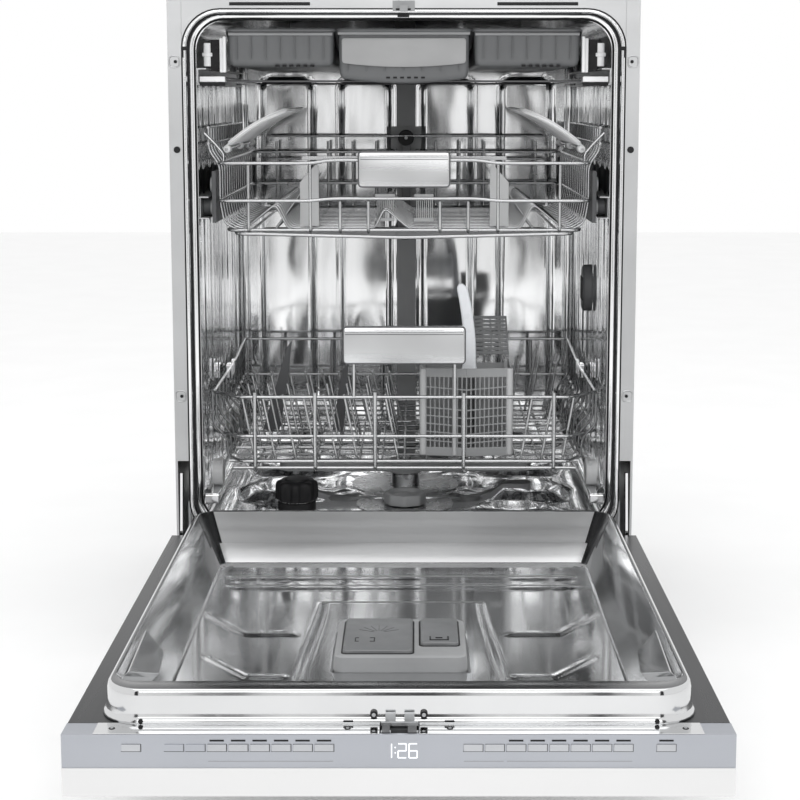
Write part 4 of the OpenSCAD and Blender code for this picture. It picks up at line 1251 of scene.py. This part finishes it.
def make_dispenser():
    """The moulded body, the two lids in their seats, and the marks and the tab on the lids."""
    bm = bmesh.new()
    rings = []
    for z, grow in ((172, 0.5), (186, 0), (191.5, -1.0), (193, -3.5), (193, -6.5)):
        rings.append(plan_ring(66 + grow, -555 - grow, -435 + grow, 10 + grow, z, 7, 4))
    rows = skin(bm, rings)
    cap(bm, rows[-1])
    finish_mesh("dispenser_frame", bm, GREY, "door", "dispenser_plastic", ["dispenser_body"],
                sharp=45)
    seats = bmesh.new()
    for _, x0, x1, front in LIDS:
        middle, half = (x0 + x1) / 2, (x1 - x0) / 2
        ring = plan_ring(half + 1.8, front - 2.2, LID_REAR + 1.8, 5, SEAT_Z, 5, 3)
        cap(seats, [seats.verts.new(p + Vector((middle * MM, 0, 0))) for p in ring])
    seat = finish_mesh("dispenser_seats", seats, BLACK, "door")
    thicken(seat, 0.25)
    for name, x0, x1, front in LIDS:
        lid = bmesh.new()
        rings = []
        middle, half = (x0 + x1) / 2, (x1 - x0) / 2
        for z, grow in ((193.2, 0), (195.6, 0), (196.4, -0.8), (196.6, -2.5)):
            ring = plan_ring(half + grow, front - grow, LID_REAR + grow, 4 + grow, z, 5, 3)
            rings.append([p + Vector((middle * MM, 0, 0)) for p in ring])
        closed_skin(lid, rings)
        finish_mesh(name + "_cover", lid, LID_GREY, name, "lid_plastic", [name], sharp=45)
    marks = bmesh.new()
    for x, arm_x0, arm_x1 in ((-46, -46, -42), (-27, -31, -25.8)):
        add_block(marks, (x, -520, LID_TOP), (x + 1.2, -508, 196.9))
        for y in (-520, -509.2):
            add_block(marks, (arm_x0, y, LID_TOP), (arm_x1, y + 1.2, 196.9))
    finish_mesh("detergent_lid_mark", marks, BLACK, "detergent_lid", bevel=0.15, segments=1)
    fan = bmesh.new()
    for k in range(-3, 4):
        turn = Matrix.Rotation(math.radians(22 * k), 4, "Z")
        add_block(fan, (-22.8, -486, LID_TOP), (-22.0, -470, 196.9), turn, (-22.4, -492, 196))
    finish_mesh("detergent_lid_fan", fan, DARK_GREY, "detergent_lid", bevel=0.15, segments=1)
    tab = [(x, -516, LID_TOP, x + 1.4, -505, 197.2) for x in (29, 47)]
    tab += [(29, -516, LID_TOP, 48.4, -514.6, 197.2), (35, -510, LID_TOP, 42, -508.6, 197.4)]
    blocks("rinse_aid_lid_tab", tab, BLACK, "rinse_aid_lid", bevel=0.2, segments=1)


# ---- Water parts and hinges ----


def make_vent():
    """The dark oval vent cover on the right wall, with its slots."""
    bm = bmesh.new()
    rings = []
    for x, grow in ((267.6, 0), (259, -0.5), (256.6, -2), (255.6, -5)):
        ring = []
        for i in range(48):
            a = 2 * math.pi * i / 48
            ring.append(at(x, 262 + (23 + grow) * math.cos(a), 463 + (34 + grow) * math.sin(a)))
        rings.append(ring)
    rows = skin(bm, rings)
    cap(bm, rows[-1])
    finish_mesh("vent_cover", bm, DARK_GREY, "cabinet", sharp=50)
    blocks("vent_slots", [(255.0, y, 446, 256.2, y + 2.4, 480) for y in range(246, 277, 6)],
           BLACK, "cabinet", bevel=0.3, segments=1)


def make_carrier_rollers():
    """Grey rollers and bright axle heads on the upper rack's carriers."""
    rollers, heads = bmesh.new(), bmesh.new()
    for side in SIDES:
        for y, z in ((74, 592), (74, 622), (285, 592), (470, 592)):
            add_drum(rollers, (side * 254.6, y, z), 10, 2.6, "X", 36)
            add_drum(heads, (side * 252.4, y, z), 3.2, 2.4, "X", 20)
    finish_mesh("carrier_rollers", rollers, GREY, "upper_carriers", bevel=0.6)
    finish_mesh("carrier_axles", heads, CHROME, "upper_carriers", bevel=0.5)


def make_blanket_tapes():
    """Foil tapes that hold the felt blanket on the tub's back."""
    blocks("blanket_tapes", [(-236, 552.6, z, 236, 553.9, z + 34) for z in (250, 330, 540, 720)],
           GALVANISED, "cabinet", bevel=0.3)


def make_springs():
    """The door's counterweight springs as true coils."""
    for side, name in ((-1, "left"), (1, "right")):
        turns, steps = 17, 14
        path = []
        for i in range(turns * steps + 1):
            a = 2 * math.pi * i / steps
            path.append((side * 288 + 5 * math.cos(a), 112 + 5 * math.sin(a),
                         66 + 118 * i / (turns * steps)))
        nodes = ["door_springs"] if side < 0 else []
        wires("spring_" + name, [path], 1.6, SPRING, "cabinet", "spring_steel", nodes, 0.01)
    hooks = both([[(288, 112, 60), (293, 112, 63), (293, 112, 67)],
                  [(288, 112, 190), (293, 112, 187), (293, 112, 183)]])
    wires("spring_hooks", hooks, 2, SPRING, "cabinet", "spring_steel", (), 2)


def lobed_ring(cx, cy, radius, lobe, z, count=8, steps=96):
    """A ring that swells and shrinks round its middle, for grips turned by hand."""
    ring = []
    for i in range(steps):
        a = 2 * math.pi * i / steps
        r = radius + lobe * math.tanh(2.2 * math.cos(count * a))
        ring.append(at(cx + r * math.cos(a), cy + r * math.sin(a), z))
    return ring


def make_softener_cap():
    """The salt filler's cap: a threaded collar, a lobed grip and a slightly raised disc."""
    bm = bmesh.new()
    cx, cy = -148, 100
    profile = [(174, 25, 0), (176, 26, 0), (187, 26, 0), (188, 24, 0), (189, 24, 0),
               (190, 26.4, 1.4), (193, 27.2, 2.4), (211, 26.8, 2.4), (214.5, 25.4, 2.0),
               (216, 22.5, 1.2), (216.4, 17, 0), (219, 15.6, 0), (219.6, 12, 0), (219.2, 5, 0)]
    closed_skin(bm, [lobed_ring(cx, cy, r, lobe, z) for z, r, lobe in profile])
    finish_mesh("salt_cap", bm, BLACK, "softener_cap", "cap_plastic", ["softener_cap"], sharp=50)


def make_filter():
    """The filter cup's octagonal grip with its dished middle, and two thin chrome pins on the spray arm
    hub that stand in as painted highlights.
    """
    bm = bmesh.new()
    rings = []
    profile = [(172.6, 29.5), (174, 30), (184.5, 30), (187, 29), (188, 26.5), (187.4, 23.5),
               (183, 20), (182.5, 17), (185.5, 8), (187, 3)]
    for z, r in profile:
        ring = []
        for i in range(64):
            a = 2 * math.pi * (i + 0.5) / 64
            facet = math.cos(math.pi / 8) / math.cos((a % (math.pi / 4)) - math.pi / 8)
            blend = smoothstep(18, 27, r)
            reach = r * (blend * facet + (1 - blend))
            ring.append(at(reach * math.cos(a), 150 + reach * math.sin(a), z))
        rings.append(ring)
    closed_skin(bm, rings)
    finish_mesh("filter_grip", bm, GREY, "filter_cup", "filter_plastic", ["filter_cup"], sharp=40)
    # Painted highlights: two thin chrome pins where the black hub shows two bright vertical strips.
    pins = bmesh.new()
    for x in (-4, 6):
        add_drum(pins, (x, 256.5, 181), 1.6, 18, "Z", 16)
    finish_mesh("hub_painted_highlight_pins", pins, CHROME, "cabinet", bevel=0.5)


def round_cad_edges():
    """Small rounded edges on the CAD nodes that stay visible."""
    for name, width in (("control_panel", 0.5), ("door_latch", 0.5), ("hinge_arms", 0.4),
                        ("hinge_brackets", 0.4), ("latch_striker", 0.3), ("toe_kick", 0.4),
                        ("lower_spray_arm", 1.5), ("middle_spray_arm", 1.5), ("ceiling_sprayer", 1.0),
                        ("furniture_panel", 0.8), ("upper_rack_carriers", 0.6),
                        ("lower_rack_wheels", 0.8), ("water_duct", 1.0), ("terminal_box", 0.6)):
        round_edges(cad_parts[name], width)
    for name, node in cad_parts.items():
        if name.startswith("key_"):
            round_edges(node, 0.5)


# ---- Stage, lights and camera ----

FLOOR_COLOR = (0.93, 0.93, 0.93)
# How far the camera looks down, and the frame's shift that makes up for part of the photo's.
PITCH, SHIFT = 7.7, (-0.0195, -0.1)
FLAG_Y, FLAG_TOP = -3.6, 2.6


def make_stage():
    bpy.ops.mesh.primitive_plane_add(size=14, location=(0, 0, -0.0005))
    floor = bpy.context.object
    floor.name = "floor"
    mat, shader = new_material("pale_floor", FLOOR_COLOR, 0.0, 0.7)
    tex = noise_node(mat.node_tree, 6, 4)
    vary_color(mat, shader, tex, FLOOR_COLOR, 0.01)
    floor.data.materials.append(mat)
    world = bpy.data.worlds.new("studio")
    bpy.context.scene.world = world
    world.use_nodes = True
    world.node_tree.nodes["Background"].inputs["Color"].default_value = (1, 1, 1, 1)
    world.node_tree.nodes["Background"].inputs["Strength"].default_value = 1.0


def area_light(name, place, aim, size, power):
    data = bpy.data.lights.new(name, "AREA")
    data.shape = "RECTANGLE"
    data.size, data.size_y = size
    data.energy = power
    light = link(name, data)
    light.location = place
    light.rotation_euler = (Vector(aim) - Vector(place)).to_track_quat("-Z", "Y").to_euler()


def dark_flag(name, low, high):
    """A black studio flag, which only reflections see."""
    bm = bmesh.new()
    matrix = Matrix.Translation((low + high) / 2) @ Matrix.Diagonal((*(high - low), 1))
    bmesh.ops.create_cube(bm, size=1, matrix=matrix)
    mesh = bpy.data.meshes.new(name)
    bm.to_mesh(mesh)
    bm.free()
    mesh.materials.append(BLACK)
    flag = link(name, mesh)
    flag.visible_camera = False
    flag.visible_shadow = False
    flag.visible_diffuse = False


def make_flags():
    """Upright black strips in front of the machine, so that its steel mirrors them."""
    for i, (x, width) in enumerate(((-1.5, 0.5), (-0.5, 0.14), (0.0, 0.3), (0.5, 0.14),
                                    (1.5, 0.5))):
        dark_flag("flag_%d" % i, Vector((x - width / 2, FLAG_Y, 0.0)),
                  Vector((x + width / 2, FLAG_Y + 0.02, FLAG_TOP)))


def make_lights():
    area_light("front_softbox", (0.0, -3.0, 1.6), (0, 0.1, 0.4), (2.2, 1.4), 16)
    area_light("top_softbox", (0.0, -0.6, 3.0), (0, 0, 0.2), (2.6, 1.6), 20)


def make_camera():
    data = bpy.data.cameras.new("camera")
    data.lens = 74.3
    data.sensor_width = 36
    data.shift_x, data.shift_y = SHIFT
    camera = link("camera", data)
    camera.location = at(15, -2115, 737)
    camera.rotation_euler = (math.radians(90 - PITCH), 0, 0)
    bpy.context.scene.camera = camera
    bpy.context.scene.view_settings.view_transform = "Standard"


dress_cad_nodes()
make_tub()
make_flange_details()
make_upper_rack()
make_lower_rack()
make_handles()
make_cup_shelf(-1, "cup_shelf_left")
make_cup_shelf(1, "cup_shelf_right")
make_third_rack()
make_basket()
make_door_liner()
make_controls()
make_dispenser()
make_vent()
make_carrier_rollers()
make_blanket_tapes()
make_springs()
make_softener_cap()
make_filter()
round_cad_edges()
make_stage()
make_flags()
make_lights()
make_camera()
